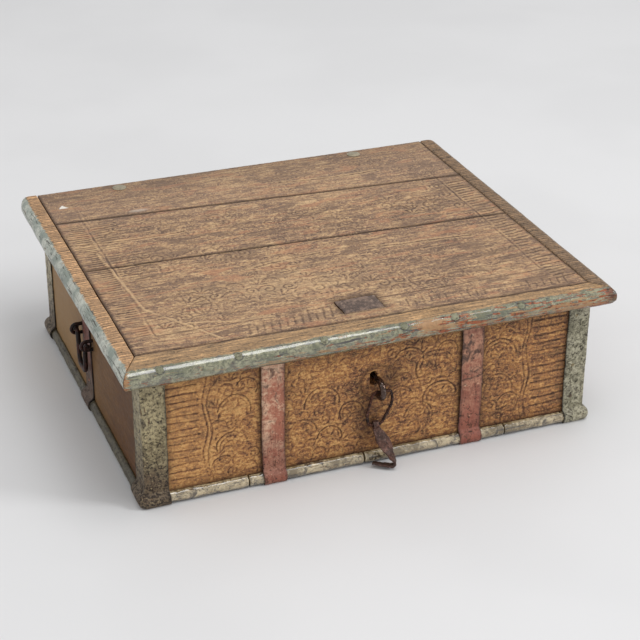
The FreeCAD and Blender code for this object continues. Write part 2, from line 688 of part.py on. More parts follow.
def lid_planks():
    """Back, middle and front planks, with a pocket for the iron plate."""
    nose = (NOSE_LEFT, NOSE_RIGHT)
    rear = (LID_BACK + PLANK_GAP / 2, LID_BACK + PLANK_GAP / 2)
    pocket = plate_block(JOINT_CLEAR, HEIGHT + PLATE_T)
    return {
        "lid_plank_back": lid_plank(SEAM_BACK, rear),
        "lid_plank_middle": lid_plank(SEAM_FRONT, SEAM_BACK),
        "lid_plank_front": lid_plank(nose, SEAM_FRONT).cut(pocket),
    }


def plate_block(clear, top):
    """The inlaid plate, or its pocket when given a clearance and a higher top."""
    middle_y = LID_FRONT + PLATE_FROM_FRONT
    half_x, half_y = PLATE_W / 2 + clear, PLATE_D / 2 + clear
    low = HEIGHT - PLATE_SINK - PLATE_T
    return block(-half_x, half_x, middle_y - half_y, middle_y + half_y, low, top)


def lid_battens():
    """Two battens that hold the planks flat, inside the walls when the lid is shut."""
    end = HALF_D - WALL_T - BATTEN_END
    return {
        "lid_batten_" + side: block(
            sx * BATTEN_X - BATTEN_W / 2, sx * BATTEN_X + BATTEN_W / 2, -end, end, LID_Z - BATTEN_T, LID_Z)
        for side, sx in (("left", -1), ("right", 1))
    }


def batten_nails():
    """One nail through each batten into each plank, from below."""
    nails = []
    end = HALF_D - WALL_T - BATTEN_END
    for sx in (-1, 1):
        share = (1 + sx * BATTEN_X / HALF_W) / 2
        seams = [-end]
        seams += [seam[0] + (seam[1] - seam[0]) * share for seam in (SEAM_FRONT, SEAM_BACK)]
        seams.append(end)
        for y0, y1 in zip(seams, seams[1:]):
            seat = vec(sx * BATTEN_X, (y0 + y1) / 2, LID_Z - BATTEN_T)
            nails.append(nail(
                seat, Z_AXIS * -1, BATTEN_NAIL_HEAD_D, BATTEN_NAIL_HEAD_H, BATTEN_NAIL_D, BATTEN_NAIL_L))
    return nails


def nosing_nails():
    """Nails on the upper curve of the nosing."""
    tilt = math.radians(NOSING_NAIL_TILT)
    outward = vec(0, -math.cos(tilt), math.sin(tilt))
    seat = vec(0, LID_FRONT + LID_R, LID_Z + LID_R) + outward * LID_R
    return [
        nail(seat + X_AXIS * x, outward, NOSING_NAIL_HEAD_D, NOSING_NAIL_HEAD_H, NOSING_NAIL_D, NOSING_NAIL_L)
        for x in NOSING_NAILS_X
    ]


# Hinges


def knuckles(middle_x, wall):
    """The wall leaf's two outer knuckles, or the lid leaf's middle one, as x ranges."""
    third = HINGE_W / 3
    left = middle_x - HINGE_W / 2
    trim = HINGE_KNUCKLE_GAP / 2
    ranges = [(left + third * k + trim, left + third * (k + 1) - trim) for k in range(3)]
    return [ranges[0], ranges[2]] if wall else [ranges[1]]


def hinge_leaf(middle_x, wall):
    """One leaf: a plate, with tabs that run into its knuckles and are bored for the pin."""
    clear = HINGE_R + HINGE_KNUCKLE_GAP
    flat = HINGE_R - HINGE_LEAF_T

    def plate(x0, x1, near, far):
        if wall:
            return block(x0, x1, HINGE_Y - HINGE_R, HINGE_Y - flat, HINGE_Z - far, HINGE_Z - near)
        return block(x0, x1, HINGE_Y + near, HINGE_Y + far, HINGE_Z + flat, HINGE_Z + HINGE_R)

    length = WALL_LEAF_L if wall else LID_LEAF_L
    leaf = plate(middle_x - HINGE_W / 2, middle_x + HINGE_W / 2, clear, length)
    bores = []
    play = HINGE_FIT if wall else HINGE_RUN
    for x0, x1 in knuckles(middle_x, wall):
        start = vec(x0, HINGE_Y, HINGE_Z)
        leaf = leaf.fuse(plate(x0, x1, 0, clear)).fuse(rod(start, X_AXIS, 2 * HINGE_R, x1 - x0))
        bores.append(rod(start, X_AXIS, HINGE_PIN_D + 2 * play, x1 - x0))
    return drilled(leaf, bores).removeSplitter()


def hinge_pin(middle_x):
    """A pin with a flat head at each end of the barrel."""
    start = vec(middle_x - HINGE_W / 2, HINGE_Y, HINGE_Z)
    pin = rod(start - X_AXIS * PIN_HEAD_L, X_AXIS, HINGE_PIN_D, HINGE_W + 2 * PIN_HEAD_L)
    pin = pin.fuse(rod(start - X_AXIS * PIN_HEAD_L, X_AXIS, PIN_HEAD_D, PIN_HEAD_L))
    return pin.fuse(rod(start + X_AXIS * HINGE_W, X_AXIS, PIN_HEAD_D, PIN_HEAD_L)).removeSplitter()


def hinge_rivet(middle_x):
    """A rivet from a wide head on the lid down to the lid leaf's underside."""
    seat = vec(middle_x, HINGE_Y + RIVET_FROM_AXIS, HEIGHT)
    depth = HEIGHT - (HINGE_Z + HINGE_R - HINGE_LEAF_T)
    head = Part.makeCone(RIVET_HEAD_D / 2, RIVET_CROWN_D / 2, RIVET_HEAD_H, seat, Z_AXIS)
    return head.fuse(rod(seat, Z_AXIS * -1, RIVET_D, depth)).removeSplitter()


def leaf_nails(middle_x):
    """Two nails that hold a wall leaf to the back panel."""
    face = HINGE_Y - HINGE_R + HINGE_LEAF_T
    low = HINGE_Z - LEAF_NAIL_DROP
    return [
        nail(vec(middle_x + sx * LEAF_NAIL_SPREAD / 2, face, low), Y_AXIS,
             LEAF_NAIL_HEAD_D, LEAF_NAIL_HEAD_H, LEAF_NAIL_D, LEAF_NAIL_L)
        for sx in (-1, 1)
    ]


def main():
    os.makedirs("parts", exist_ok=True)
    sides = (("left", -1), ("right", 1))

    hasp_holes = staple_holes(HASP_SEAT, Y_AXIS * -1, STAPLE_SPAN, STAPLE_BAR)
    eye_holes = [
        hole for _, sx in sides for seat in handle_eye_seats(sx)
        for hole in staple_holes(seat, X_AXIS * sx, EYE_SPAN, EYE_BAR)
    ]
    body_nails = strap_nails()
    hinge_nails = [one for _, sx in sides for one in leaf_nails(sx * HINGE_X)]
    rivets = [hinge_rivet(sx * HINGE_X) for _, sx in sides]
    under_nails = batten_nails()
    edge_nails = nosing_nails()

    panels = wall_panels()
    panels["front_panel"] = panels["front_panel"].cut(keyhole())
    for name, panel in panels.items():
        save(name, [drilled(panel, hasp_holes + eye_holes + body_nails + hinge_nails)])
    for name, board in bottom_boards().items():
        save(name, [board])
    for name, length in plinth_pieces().items():
        save(name, [length])
    for name, strap in strap_pieces().items():
        save(name, [drilled(strap, body_nails)])
    save("strap_nails", body_nails)

    save("hasp_staple", [staple(HASP_SEAT, Y_AXIS * -1, STAPLE_SPAN, STAPLE_BAR, STAPLE_OUT, STAPLE_TAIL)])
    save("hasp_link", [hasp_link()])
    save("hasp_hook", [hasp_hook()])
    for side, sx in sides:
        for end, seat in zip(("front", "back"), handle_eye_seats(sx)):
            eye = staple(seat, X_AXIS * sx, EYE_SPAN, EYE_BAR, EYE_OUT, EYE_TAIL)
            save("handle_staple_%s_%s" % (side, end), [eye])
        save("handle_bail_" + side, [handle_bail(sx)])

    for name, plank in lid_planks().items():
        save(name, [drilled(plank, rivets + under_nails)])
    save("lid_nosing", [drilled(lid_nosing(), edge_nails)])
    save("lid_moulding_left", [lid_moulding(-1, NOSE_LEFT)])
    save("lid_moulding_right", [lid_moulding(1, NOSE_RIGHT)])
    for name, batten in lid_battens().items():
        save(name, [drilled(batten, under_nails)])
    save("lid_plate", [plate_block(0, HEIGHT - PLATE_SINK)])
    save("batten_nails", under_nails)
    save("nosing_nails", edge_nails)

    for side, sx in sides:
        save("hinge_wall_leaf_" + side, [drilled(hinge_leaf(sx * HINGE_X, True), hinge_nails)])
        save("hinge_lid_leaf_" + side, [drilled(hinge_leaf(sx * HINGE_X, False), rivets)])
        save("hinge_pin_" + side, [hinge_pin(sx * HINGE_X)])
    save("hinge_rivets", rivets)
    save("hinge_nails", hinge_nails)


main()
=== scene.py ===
"""A low coffer chest in carved wood, worn paint and forged iron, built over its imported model.

Lengths are in metres and every piece sits in the model's own frame: +X runs right
along the front, +Y runs to the back and +Z is up from the floor.
"""

from __future__ import annotations

import contextlib
import logging
import math
from collections.abc import Callable, Iterator, Sequence
from dataclasses import dataclass, field
from enum import Enum
from typing import Any

import bpy
import numpy as np
from mathutils import Matrix, Vector

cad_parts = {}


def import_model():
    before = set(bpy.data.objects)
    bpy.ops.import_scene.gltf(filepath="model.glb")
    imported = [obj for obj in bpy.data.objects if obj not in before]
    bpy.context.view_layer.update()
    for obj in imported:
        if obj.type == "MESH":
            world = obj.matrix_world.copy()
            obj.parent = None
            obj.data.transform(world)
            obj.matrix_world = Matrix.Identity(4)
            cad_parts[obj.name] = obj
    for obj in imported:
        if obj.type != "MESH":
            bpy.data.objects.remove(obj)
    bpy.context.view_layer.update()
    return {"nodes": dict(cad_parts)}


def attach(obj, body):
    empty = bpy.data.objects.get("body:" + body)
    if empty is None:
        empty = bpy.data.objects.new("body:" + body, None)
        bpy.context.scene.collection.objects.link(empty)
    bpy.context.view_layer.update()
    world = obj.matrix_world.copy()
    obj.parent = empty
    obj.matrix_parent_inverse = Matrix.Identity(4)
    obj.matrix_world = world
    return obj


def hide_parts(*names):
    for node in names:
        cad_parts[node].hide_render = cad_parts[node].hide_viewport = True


LOG = logging.getLogger("coffer")
MM = 0.001

Piece = bpy.types.Object
Array = np.ndarray
Colour = tuple[float, float, float]
Spot = tuple[float, float]
Dents = Sequence[tuple[float, float]]
FaceTest = Callable[[Array, Array], Array]
Layer = Callable[[Array, Array, Array], Array]


class Body(str, Enum):
    """The chest's moving bodies."""

    CHEST = "chest"
    LID = "lid"
    LINK = "link"
    HOOK = "hook"
    LEFT_BAIL = "left_bail"
    RIGHT_BAIL = "right_bail"


class Way(Enum):
    """The direction that grain, streaks and chips run along."""

    X = 0
    Y = 1
    Z = 2

    def stretched(self, across: float, along: float) -> list[float]:
        """A noise cell's three lengths, long along this direction."""
        return [along if axis == self.value else across for axis in range(3)]


@dataclass(frozen=True)
class ChestSizes:
    """Sizes that several pieces share."""

    half_w: float = 300 * MM
    half_d: float = 252.5 * MM
    rim_z: float = 173.7 * MM
    wall_t: float = 20 * MM
    lap: float = 10 * MM
    floor_t: float = 16 * MM
    plinth_r: float = 8 * MM
    plinth_flat: float = 0.5 * MM
    strap_t: float = 1.8 * MM
    strap_out: float = 2 * MM
    strap_top: float = 172.9 * MM
    strap_foot_r: float = 5 * MM
    leaf_x: float = 29 * MM
    leaf_y: float = 35 * MM
    front_strap_x: float = 135 * MM
    front_strap_w: float = 30 * MM
    side_strap_y: float = 15 * MM
    side_strap_w: float = 38 * MM
    lid_top: float = 200 * MM
    lid_t: float = 26 * MM
    lid_front: float = -278 * MM
    lid_back: float = 285 * MM
    lid_half_w: float = 327 * MM
    plank_gap: float = 1.2 * MM

    def turn(self, points: Array, reach: float | Array) -> None:
        """Draw in points that stand out past a corner of the chest, so that the corner is round.

        Args:
            points: Places, one row each, which are moved.
            reach: How far a place may lie from the corner.
        """
        past = np.maximum(np.abs(points[:, :2]) - (self.half_w, self.half_d), 0)
        both = past.min(axis=1) > 0
        far = np.maximum(np.linalg.norm(past, axis=1), 1e-9)
        pull = past * np.where(both, np.maximum(1 - reach / far, 0), 0)[:, None]
        points[:, :2] -= np.sign(points[:, :2]) * pull


CHEST = ChestSizes()


# Sums on many places at once


def rows(*columns: Array | float) -> Array:
    """Columns side by side, one row for each place; a lone number fills its column."""
    return np.stack(np.broadcast_arrays(*columns), axis=1).astype(float)


def unit(values: Array) -> Array:
    """Values held between 0 and 1."""
    return np.clip(values, 0, 1)


def bell(distance: Array, width: float) -> Array:
    """1 where a distance is 0, falling off smoothly over a width."""
    return np.exp(-((distance / width) ** 2))


def blot(x: Array, y: Array, centre: Spot, reach: Spot) -> Array:
    """1 at a centre, falling off smoothly over a reach each way."""
    return bell((x - centre[0]) / reach[0], 1) * bell((y - centre[1]) / reach[1], 1)


def most(*values: Array | float) -> Array:
    """The largest of several values at each place."""
    return np.maximum.reduce(np.broadcast_arrays(*values))


# Noise, bench work and carving


class Grain:
    """Smooth lattice noise with a fixed seed, for surfaces worn by hand."""

    CELLS = 4096
    KEYS = np.array([73856093, 19349663, 83492791])

    def __init__(self, seed: int) -> None:
        """Draw the lattice.

        Args:
            seed: The number that fixes the draw.
        """
        self.table = np.random.default_rng(seed).uniform(-1.0, 1.0, self.CELLS)

    def at(self, points: Array, size: float | Sequence[float]) -> Array:
        """Noise between -1 and 1.

        Args:
            points: Places, one row each.
            size: A lattice cell's length, or one for each axis.

        Returns:
            One value for each place.
        """
        spot = points / np.asarray(size, float)
        base = np.floor(spot)
        part = spot - base
        part = part * part * (3 - 2 * part)
        cell = base.astype(np.int64)
        total = np.zeros(len(spot))
        for corner in range(8):
            step = np.array([corner & 1, corner >> 1 & 1, corner >> 2 & 1])
            weight = np.prod(np.where(step == 1, part, 1 - part), axis=1)
            key = (cell + step) @ self.KEYS
            total += weight * self.table[(key ^ (key >> 11)) % self.CELLS]
        return total

    def layers(self, points: Array, size: float | Sequence[float], count: int = 3) -> Array:
        """Several octaves of noise, each half as large and half as strong.

        Args:
            points: Places, one row each.
            size: The first octave's cell length, or one for each axis.
            count: How many octaves are added.

        Returns:
            One value for each place, about between -1 and 1.
        """
        size = np.asarray(size, float)
        return sum(self.at(points, size / 2**k) / 2**k for k in range(count)) / (2 - 2 ** (1 - count))

    def scribble(self, points: Array, size: float) -> Array:
        """Thin wandering lines, 1 on the line and 0 off it.

        Args:
            points: Places, one row each.
            size: The lines' rough spacing.

        Returns:
            One value for each place.
        """
        drift = np.stack([self.at(points + 0.31 * (k + 1), 1.6 * size) for k in range(3)], axis=1)
        return unit(1 - np.abs(self.at(points + drift * size, size)) / 0.2)

    def scales(self, spots: Array, size: float) -> tuple[Array, Array]:
        """Small leaf-like cells with a groove round each.

        Args:
            spots: Places in a plane, one row each.
            size: The cells' rough size.

        Returns:
            For each place, how deep in a groove it lies and how high on a cell's crown, from 0 to 1.
        """
        places = np.pad(spots, ((0, 0), (0, 1)))
        drift = np.stack([self.at(places + 0.7 * (k + 1), 2.2 * size) for k in range(2)], axis=1)
        spot = spots / size + 0.45 * drift
        base = np.floor(spot).astype(np.int64)
        near = np.full((2, len(spot)), 9.0)
        for dx in (-1, 0, 1):
            for dy in (-1, 0, 1):
                cell = base + np.array([dx, dy])
                key = cell @ self.KEYS[:2]
                pull = self.table[np.stack([key ^ (key >> 7), key ^ (key >> 9)]) % self.CELLS].T
                gap = np.linalg.norm(cell + 0.5 + 0.42 * pull - spot, axis=1)
                near = np.sort(np.vstack([near, gap]), axis=0)[:2]
        return unit(1 - (near[1] - near[0]) / 0.22), unit(1 - near[0] / 0.75)


class Bench:
    """Modelling operators, used as by hand."""

    @staticmethod
    def clear() -> None:
        """Leave edit mode and deselect everything."""
        if bpy.context.object is not None and bpy.context.object.mode != "OBJECT":
            bpy.ops.object.mode_set(mode="OBJECT")
        bpy.ops.object.select_all(action="DESELECT")

    @staticmethod
    def pick(piece: Piece) -> None:
        """Select one piece alone and make it active.

        Args:
            piece: The piece.
        """
        Bench.clear()
        piece.select_set(True)
        bpy.context.view_layer.objects.active = piece

    @staticmethod
    @contextlib.contextmanager
    def editing(piece: Piece) -> Iterator[None]:
        """Edit mode on one piece, in face selection, for the length of a with block.

        Args:
            piece: The piece.

        Returns:
            Nothing, while the piece is open.
        """
        Bench.pick(piece)
        bpy.context.tool_settings.mesh_select_mode = (False, False, True)
        bpy.ops.object.mode_set(mode="EDIT")
        yield
        bpy.ops.object.mode_set(mode="OBJECT")

    @staticmethod
    def grid(name: str, cells_x: int, cells_y: int) -> Piece:
        """Add a flat grid whose corners lie half a unit from the origin.

        Args:
            name: The piece's name.
            cells_x: Divisions along X.
            cells_y: Divisions along Y.

        Returns:
            The new piece.
        """
        Bench.clear()
        bpy.ops.mesh.primitive_grid_add(x_subdivisions=cells_x, y_subdivisions=cells_y, size=1)
        piece = bpy.context.object
        piece.name = piece.data.name = name
        return piece

    @staticmethod
    def copy_of(node: Piece, name: str) -> Piece:
        """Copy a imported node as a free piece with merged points.

        Args:
            node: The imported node.
            name: The copy's name.

        Returns:
            The new piece.
        """
        piece = bpy.data.objects.new(name, node.data.copy())
        piece.data.name = name
        bpy.context.scene.collection.objects.link(piece)
        with Bench.editing(piece):
            bpy.ops.mesh.select_all(action="SELECT")
            bpy.ops.mesh.remove_doubles(threshold=1e-6)
        return piece

    @staticmethod
    def read(parts: Any, key: str) -> Array:
        """One of the vectors of a mesh's points or faces, one row each.

        Args:
            parts: The mesh's points, faces or normals.
            key: The vector's name.

        Returns:
            The vectors, one row each.
        """
        flat = np.empty(len(parts) * 3, np.float32)
        parts.foreach_get(key, flat)
        return flat.reshape(-1, 3)

    @staticmethod
    def points(piece: Piece) -> Array:
        """The piece's points, one row each."""
        return Bench.read(piece.data.vertices, "co").astype(float)

    @staticmethod
    def normals(piece: Piece) -> Array:
        """The piece's point normals, one row each."""
        return Bench.read(piece.data.vertex_normals, "vector").astype(float)

    @staticmethod
    def place(piece: Piece, points: Array) -> None:
        """Move the piece's points.

        Args:
            piece: The piece.
            points: Its new points, one row each.
        """
        piece.data.vertices.foreach_set("co", points.astype(np.float32).ravel())
        piece.data.update()

    @staticmethod
    def note(piece: Piece, **notes: Array) -> None:
        """Store numbers on a piece's points, for a finish to read.

        Args:
            piece: The piece.
            notes: By attribute name, one number for each point; later points get 0.
        """
        for name, values in notes.items():
            layer = piece.data.attributes.new(name, "FLOAT", "POINT")
            spare = len(piece.data.vertices) - len(values)
            layer.data.foreach_set("value", np.pad(values.astype(np.float32), (0, spare)))

    @staticmethod
    def rise(piece: Piece, depth: Array, reach: int) -> Array:
        """How far a flat grid's points stand above the mean of their neighbours.

        Args:
            piece: The grid, not yet moved.
            depth: Each point's depth.
            reach: How many cells the mean takes in, each way.

        Returns:
            One height for each point.
        """
        share = Bench.points(piece)[:, :2] + 0.5
        cells = np.array([len(np.unique(np.round(share[:, k], 6))) - 1 for k in (0, 1)])
        column, row = np.rint(share * cells).astype(int).T
        mean = np.zeros((cells[1] + 1, cells[0] + 1))
        mean[row, column] = depth
        for axis in (0, 1):
            wide = np.pad(mean, [(reach, reach) if k == axis else (0, 0) for k in (0, 1)], mode="edge")
            mean = np.lib.stride_tricks.sliding_window_view(wide, 2 * reach + 1, axis=axis).mean(axis=-1)
        return mean[row, column] - depth

    @staticmethod
    def choose(piece: Piece, test: FaceTest) -> None:
        """Select the faces that pass a test, and nothing else.

        Args:
            piece: The piece, in object mode.
            test: Takes the faces' middles and normals, and says which to select.
        """
        mesh = piece.data
        chosen = test(Bench.read(mesh.polygons, "center"), Bench.read(mesh.polygons, "normal"))
        for parts in (mesh.vertices, mesh.edges):
            parts.foreach_set("select", np.zeros(len(parts), bool))
        mesh.polygons.foreach_set("select", chosen)

    @staticmethod
    def skirt(piece: Piece, moves: Sequence[Sequence[float]]) -> None:
        """Extrude an open sheet's rim, step by step, and close the far end.

        Args:
            piece: The sheet.
            moves: Each step's shift.
        """
        with Bench.editing(piece):
            bpy.ops.mesh.select_mode(type="EDGE")
            bpy.ops.mesh.select_all(action="DESELECT")
            bpy.ops.mesh.select_non_manifold(
                use_wire=False, use_boundary=True, use_multi_face=False,
                use_non_contiguous=False, use_verts=False,
            )
            for move in moves:
                bpy.ops.mesh.extrude_region_move(TRANSFORM_OT_translate={"value": move})
            bpy.ops.mesh.edge_face_add()
            bpy.ops.mesh.select_all(action="SELECT")
            bpy.ops.mesh.normals_make_consistent(inside=False)

    @staticmethod
    def push(piece: Piece, move: Sequence[float]) -> None:
        """Extrude the chosen faces by a shift."""
        with Bench.editing(piece):
            bpy.ops.mesh.extrude_region_move(TRANSFORM_OT_translate={"value": move})

    @staticmethod
    def trim(piece: Piece, test: FaceTest) -> None:
        """Delete the faces that pass a test of their middles and normals.

        Args:
            piece: The piece.
            test: Takes the faces' middles and normals, and says which go.
        """
        Bench.choose(piece, test)
        with Bench.editing(piece):
            bpy.ops.mesh.delete(type="FACE")

    @staticmethod
    def modify(piece: Piece, kind: str, **settings: Any) -> None:
        """Add a modifier and apply it.

        Args:
            piece: The piece.
            kind: The modifier's type.
            settings: Its settings.
        """
        modifier = piece.modifiers.new(kind.lower(), kind)
        for key, value in settings.items():
            setattr(modifier, key, value)
        Bench.pick(piece)
        bpy.ops.object.modifier_apply(modifier=modifier.name)

    @staticmethod
    def smooth(piece: Piece, angle: float = 40.0) -> None:
        """Shade smooth where faces meet at less than an angle in degrees."""
        Bench.pick(piece)
        bpy.ops.object.shade_smooth_by_angle(angle=math.radians(angle))


class Carver:
    """Cuts a worked face: each stroke leaves its depth on the face's points."""

    WAVER = 1.6 * MM
    WAVER_SIZE = 18 * MM
    WINDING = 2.6 * math.pi

    def __init__(self, spots: Array, blade: float, sway: Grain) -> None:
        """Start on an uncut face.

        Args:
            spots: The face's points in its own plane, one row each.
            blade: Half of a groove's width.
            sway: Noise that makes the lines waver.
        """
        places = np.pad(spots, ((0, 0), (0, 1)))
        waver = rows(*(sway.layers(places + k, self.WAVER_SIZE) for k in (0.0, 0.5)))
        self.spots = spots + self.WAVER * waver
        self.blade = blade
        self.depth = np.zeros(len(spots))

    def stroke(self, line: Sequence[Spot] | Array, depth: float) -> None:
        """Cut a round-bottomed groove along a line.

        Args:
            line: The line's points.
            depth: The groove's depth.
        """
        line = np.asarray(line, float)
        inside = (self.spots > line.min(0) - self.blade) & (self.spots < line.max(0) + self.blade)
        near = np.flatnonzero(inside.all(axis=1))
        if not near.size:
            return
        spots = self.spots[near]
        gap = np.full(len(near), np.inf)
        for start, end in zip(line, line[1:]):
            run = end - start
            share = np.clip((spots - start) @ run / max(run @ run, 1e-12), 0, 1)
            gap = np.minimum(gap, np.linalg.norm(spots - start - share[:, None] * run, axis=1))
        cut = depth * unit(1 - (gap / self.blade) ** 2)
        self.depth[near] = np.maximum(self.depth[near], cut)

    def arc(self, centre: Spot, radius: float, start: float, end: float, depth: float) -> None:
        """Cut along part of a circle, between two angles in degrees."""
        angles = np.radians(np.linspace(start, end, max(5, int(abs(end - start) / 14))))
        self.stroke(np.array(centre) + radius * rows(np.cos(angles), np.sin(angles)), depth)

    def scroll(self, centre: Spot, radius: float, start: float, hand: int, depth: float) -> None:
        """Cut a spiral that winds into its centre.

        Args:
            centre: The eye of the scroll.
            radius: Its outer radius.
            start: The outer end's angle in degrees.
            hand: 1 to wind anticlockwise, -1 for clockwise.
            depth: The groove's depth.
        """
        share = np.linspace(0, 1, 28)
        angles = math.radians(start) + hand * share * self.WINDING
        reach = radius * (1 - 0.85 * share)
        self.stroke(np.array(centre) + reach[:, None] * rows(np.cos(angles), np.sin(angles)), depth)

    def fan(self, root: Spot, length: float, heading: float, spread: float, count: int, depth: float) -> None:
        """Cut a spray of bowed leaf veins from one root.

        Args:
            root: Where the veins start.
            length: The middle vein's length.
            heading: The middle vein's angle in degrees.
            spread: The whole spray's angle in degrees.
            count: How many veins there are.
            depth: The grooves' depth.
        """
        share = np.linspace(0.15, 1, 7)[:, None]
        for k in range(count):
            side = 2 * k / (count - 1) - 1
            angle = math.radians(heading + side * spread / 2)
            out = np.array([math.cos(angle), math.sin(angle)])
            across = np.array([-out[1], out[0]]) * side
            reach = length * (1 - 0.35 * side**2)
            self.stroke(np.array(root) + share * reach * out + share**2 * reach * 0.35 * across, depth)

    def scallop(self, centre: Spot, radius: float, heading: float, depth: float) -> None:
        """Cut a leaf tip: two nested arcs about a heading in degrees, with veins inside.

        Args:
            centre: The arcs' centre.
            radius: The outer arc's radius.
            heading: Where the tip points, in degrees.
            depth: The grooves' depth.
        """
        self.arc(centre, radius, heading - 95, heading + 95, depth)
        self.arc(centre, radius * 0.78, heading - 80, heading + 80, depth * 0.7)
        self.fan(centre, radius * 0.7, heading, 110, 4, depth * 0.6)

    def comb(self, start: Spot, end: Spot, tooth: Spot, pitch: float, depth: float) -> None:
        """Cut a row of short strokes that stand along a line.

        Args:
            start: The line's first end.
            end: The line's last end.
            tooth: Each stroke's run from the line.
            pitch: The strokes' spacing.
            depth: The strokes' depth.
        """
        first, last, run = np.array(start), np.array(end), np.array(tooth)
        count = int(np.linalg.norm(last - first) / pitch)
        for k in range(count):
            foot = first + (last - first) * (k + 0.5) / count
            self.stroke([foot, foot + run * (0.75 + 0.25 * math.cos(2.4 * k))], depth)

    def foliage(self, low: Spot, high: Spot, pitch: float, depth: float, seed: int) -> None:
        """Fill a rectangle with small leaf tips, scrolls and sprays in staggered rows.

        Args:
            low: The rectangle's lowest corner.
            high: Its highest corner.
            pitch: The spacing of the motifs.
            depth: The grooves' depth.
            seed: The number that fixes the draw.
        """
        rng = np.random.default_rng(seed)
        tiers = max(1, round((high[1] - low[1]) / (pitch * 0.8)))
        columns = max(1, round((high[0] - low[0]) / pitch))
        for row in range(tiers):
            for column in range(columns):
                shift = 0.75 if row % 2 else 0.25
                x = low[0] + (high[0] - low[0]) * (column + shift) / columns + rng.uniform(-0.15, 0.15) * pitch
                y = low[1] + (high[1] - low[1]) * (row + 0.5) / tiers + rng.uniform(-0.15, 0.15) * pitch
                turn, hand = rng.uniform(0, 360), rng.choice((-1, 1))
                size, kind = pitch * rng.uniform(0.42, 0.58), rng.integers(0, 5)
                if kind == 0:
                    self.scroll((x, y), size * 0.9, turn, hand, depth)
                elif kind == 1:
                    self.fan((x, y - size / 2), size * 1.3, 90 + rng.uniform(-60, 60), 100, 5, depth)
                else:
                    self.scallop((x, y - size / 3), size, 90 + rng.uniform(-50, 50), depth)


# Shader maths


class Val:
    """A node's output, which Python's operators turn into Math nodes."""

    def __init__(self, graph: Graph, socket: bpy.types.NodeSocket | None) -> None:
        """Wrap an output socket of a graph."""
        self.graph = graph
        self.socket = socket

    def _math(self, operation: str, first: Val | float, second: Val | float) -> Val:
        """Add one Math node on two terms."""
        return self.graph.add("ShaderNodeMath", {"operation": operation}, {0: first, 1: second})

    def __add__(self, other: Val | float) -> Val:
        """Sum."""
        return self._math("ADD", self, other)

    def __radd__(self, other: float) -> Val:
        """Sum with a number first."""
        return self._math("ADD", other, self)

    def __sub__(self, other: Val | float) -> Val:
        """Difference."""
        return self._math("SUBTRACT", self, other)

    def __rsub__(self, other: float) -> Val:
        """Difference from a number."""
        return self._math("SUBTRACT", other, self)

    def __mul__(self, other: Val | float) -> Val:
        """Product."""
        return self._math("MULTIPLY", self, other)

    def __rmul__(self, other: float) -> Val:
        """Product with a number first."""
        return self._math("MULTIPLY", other, self)

    def __truediv__(self, other: Val | float) -> Val:
        """Quotient."""
        return self._math("DIVIDE", self, other)

    def __rtruediv__(self, other: float) -> Val:
        """Quotient of a number."""
        return self._math("DIVIDE", other, self)

    def __abs__(self) -> Val:
        """Absolute value."""
        return self._math("ABSOLUTE", self, 0.0)

    def band(self, low: float, high: float) -> Val:
        """A smooth step from 0 at low to 1 at high, which may be the lower of the two."""
        sockets = {0: self, 1: low, 2: high, 3: 0.0, 4: 1.0}
        return self.graph.add("ShaderNodeMapRange", {"interpolation_type": "SMOOTHSTEP"}, sockets)


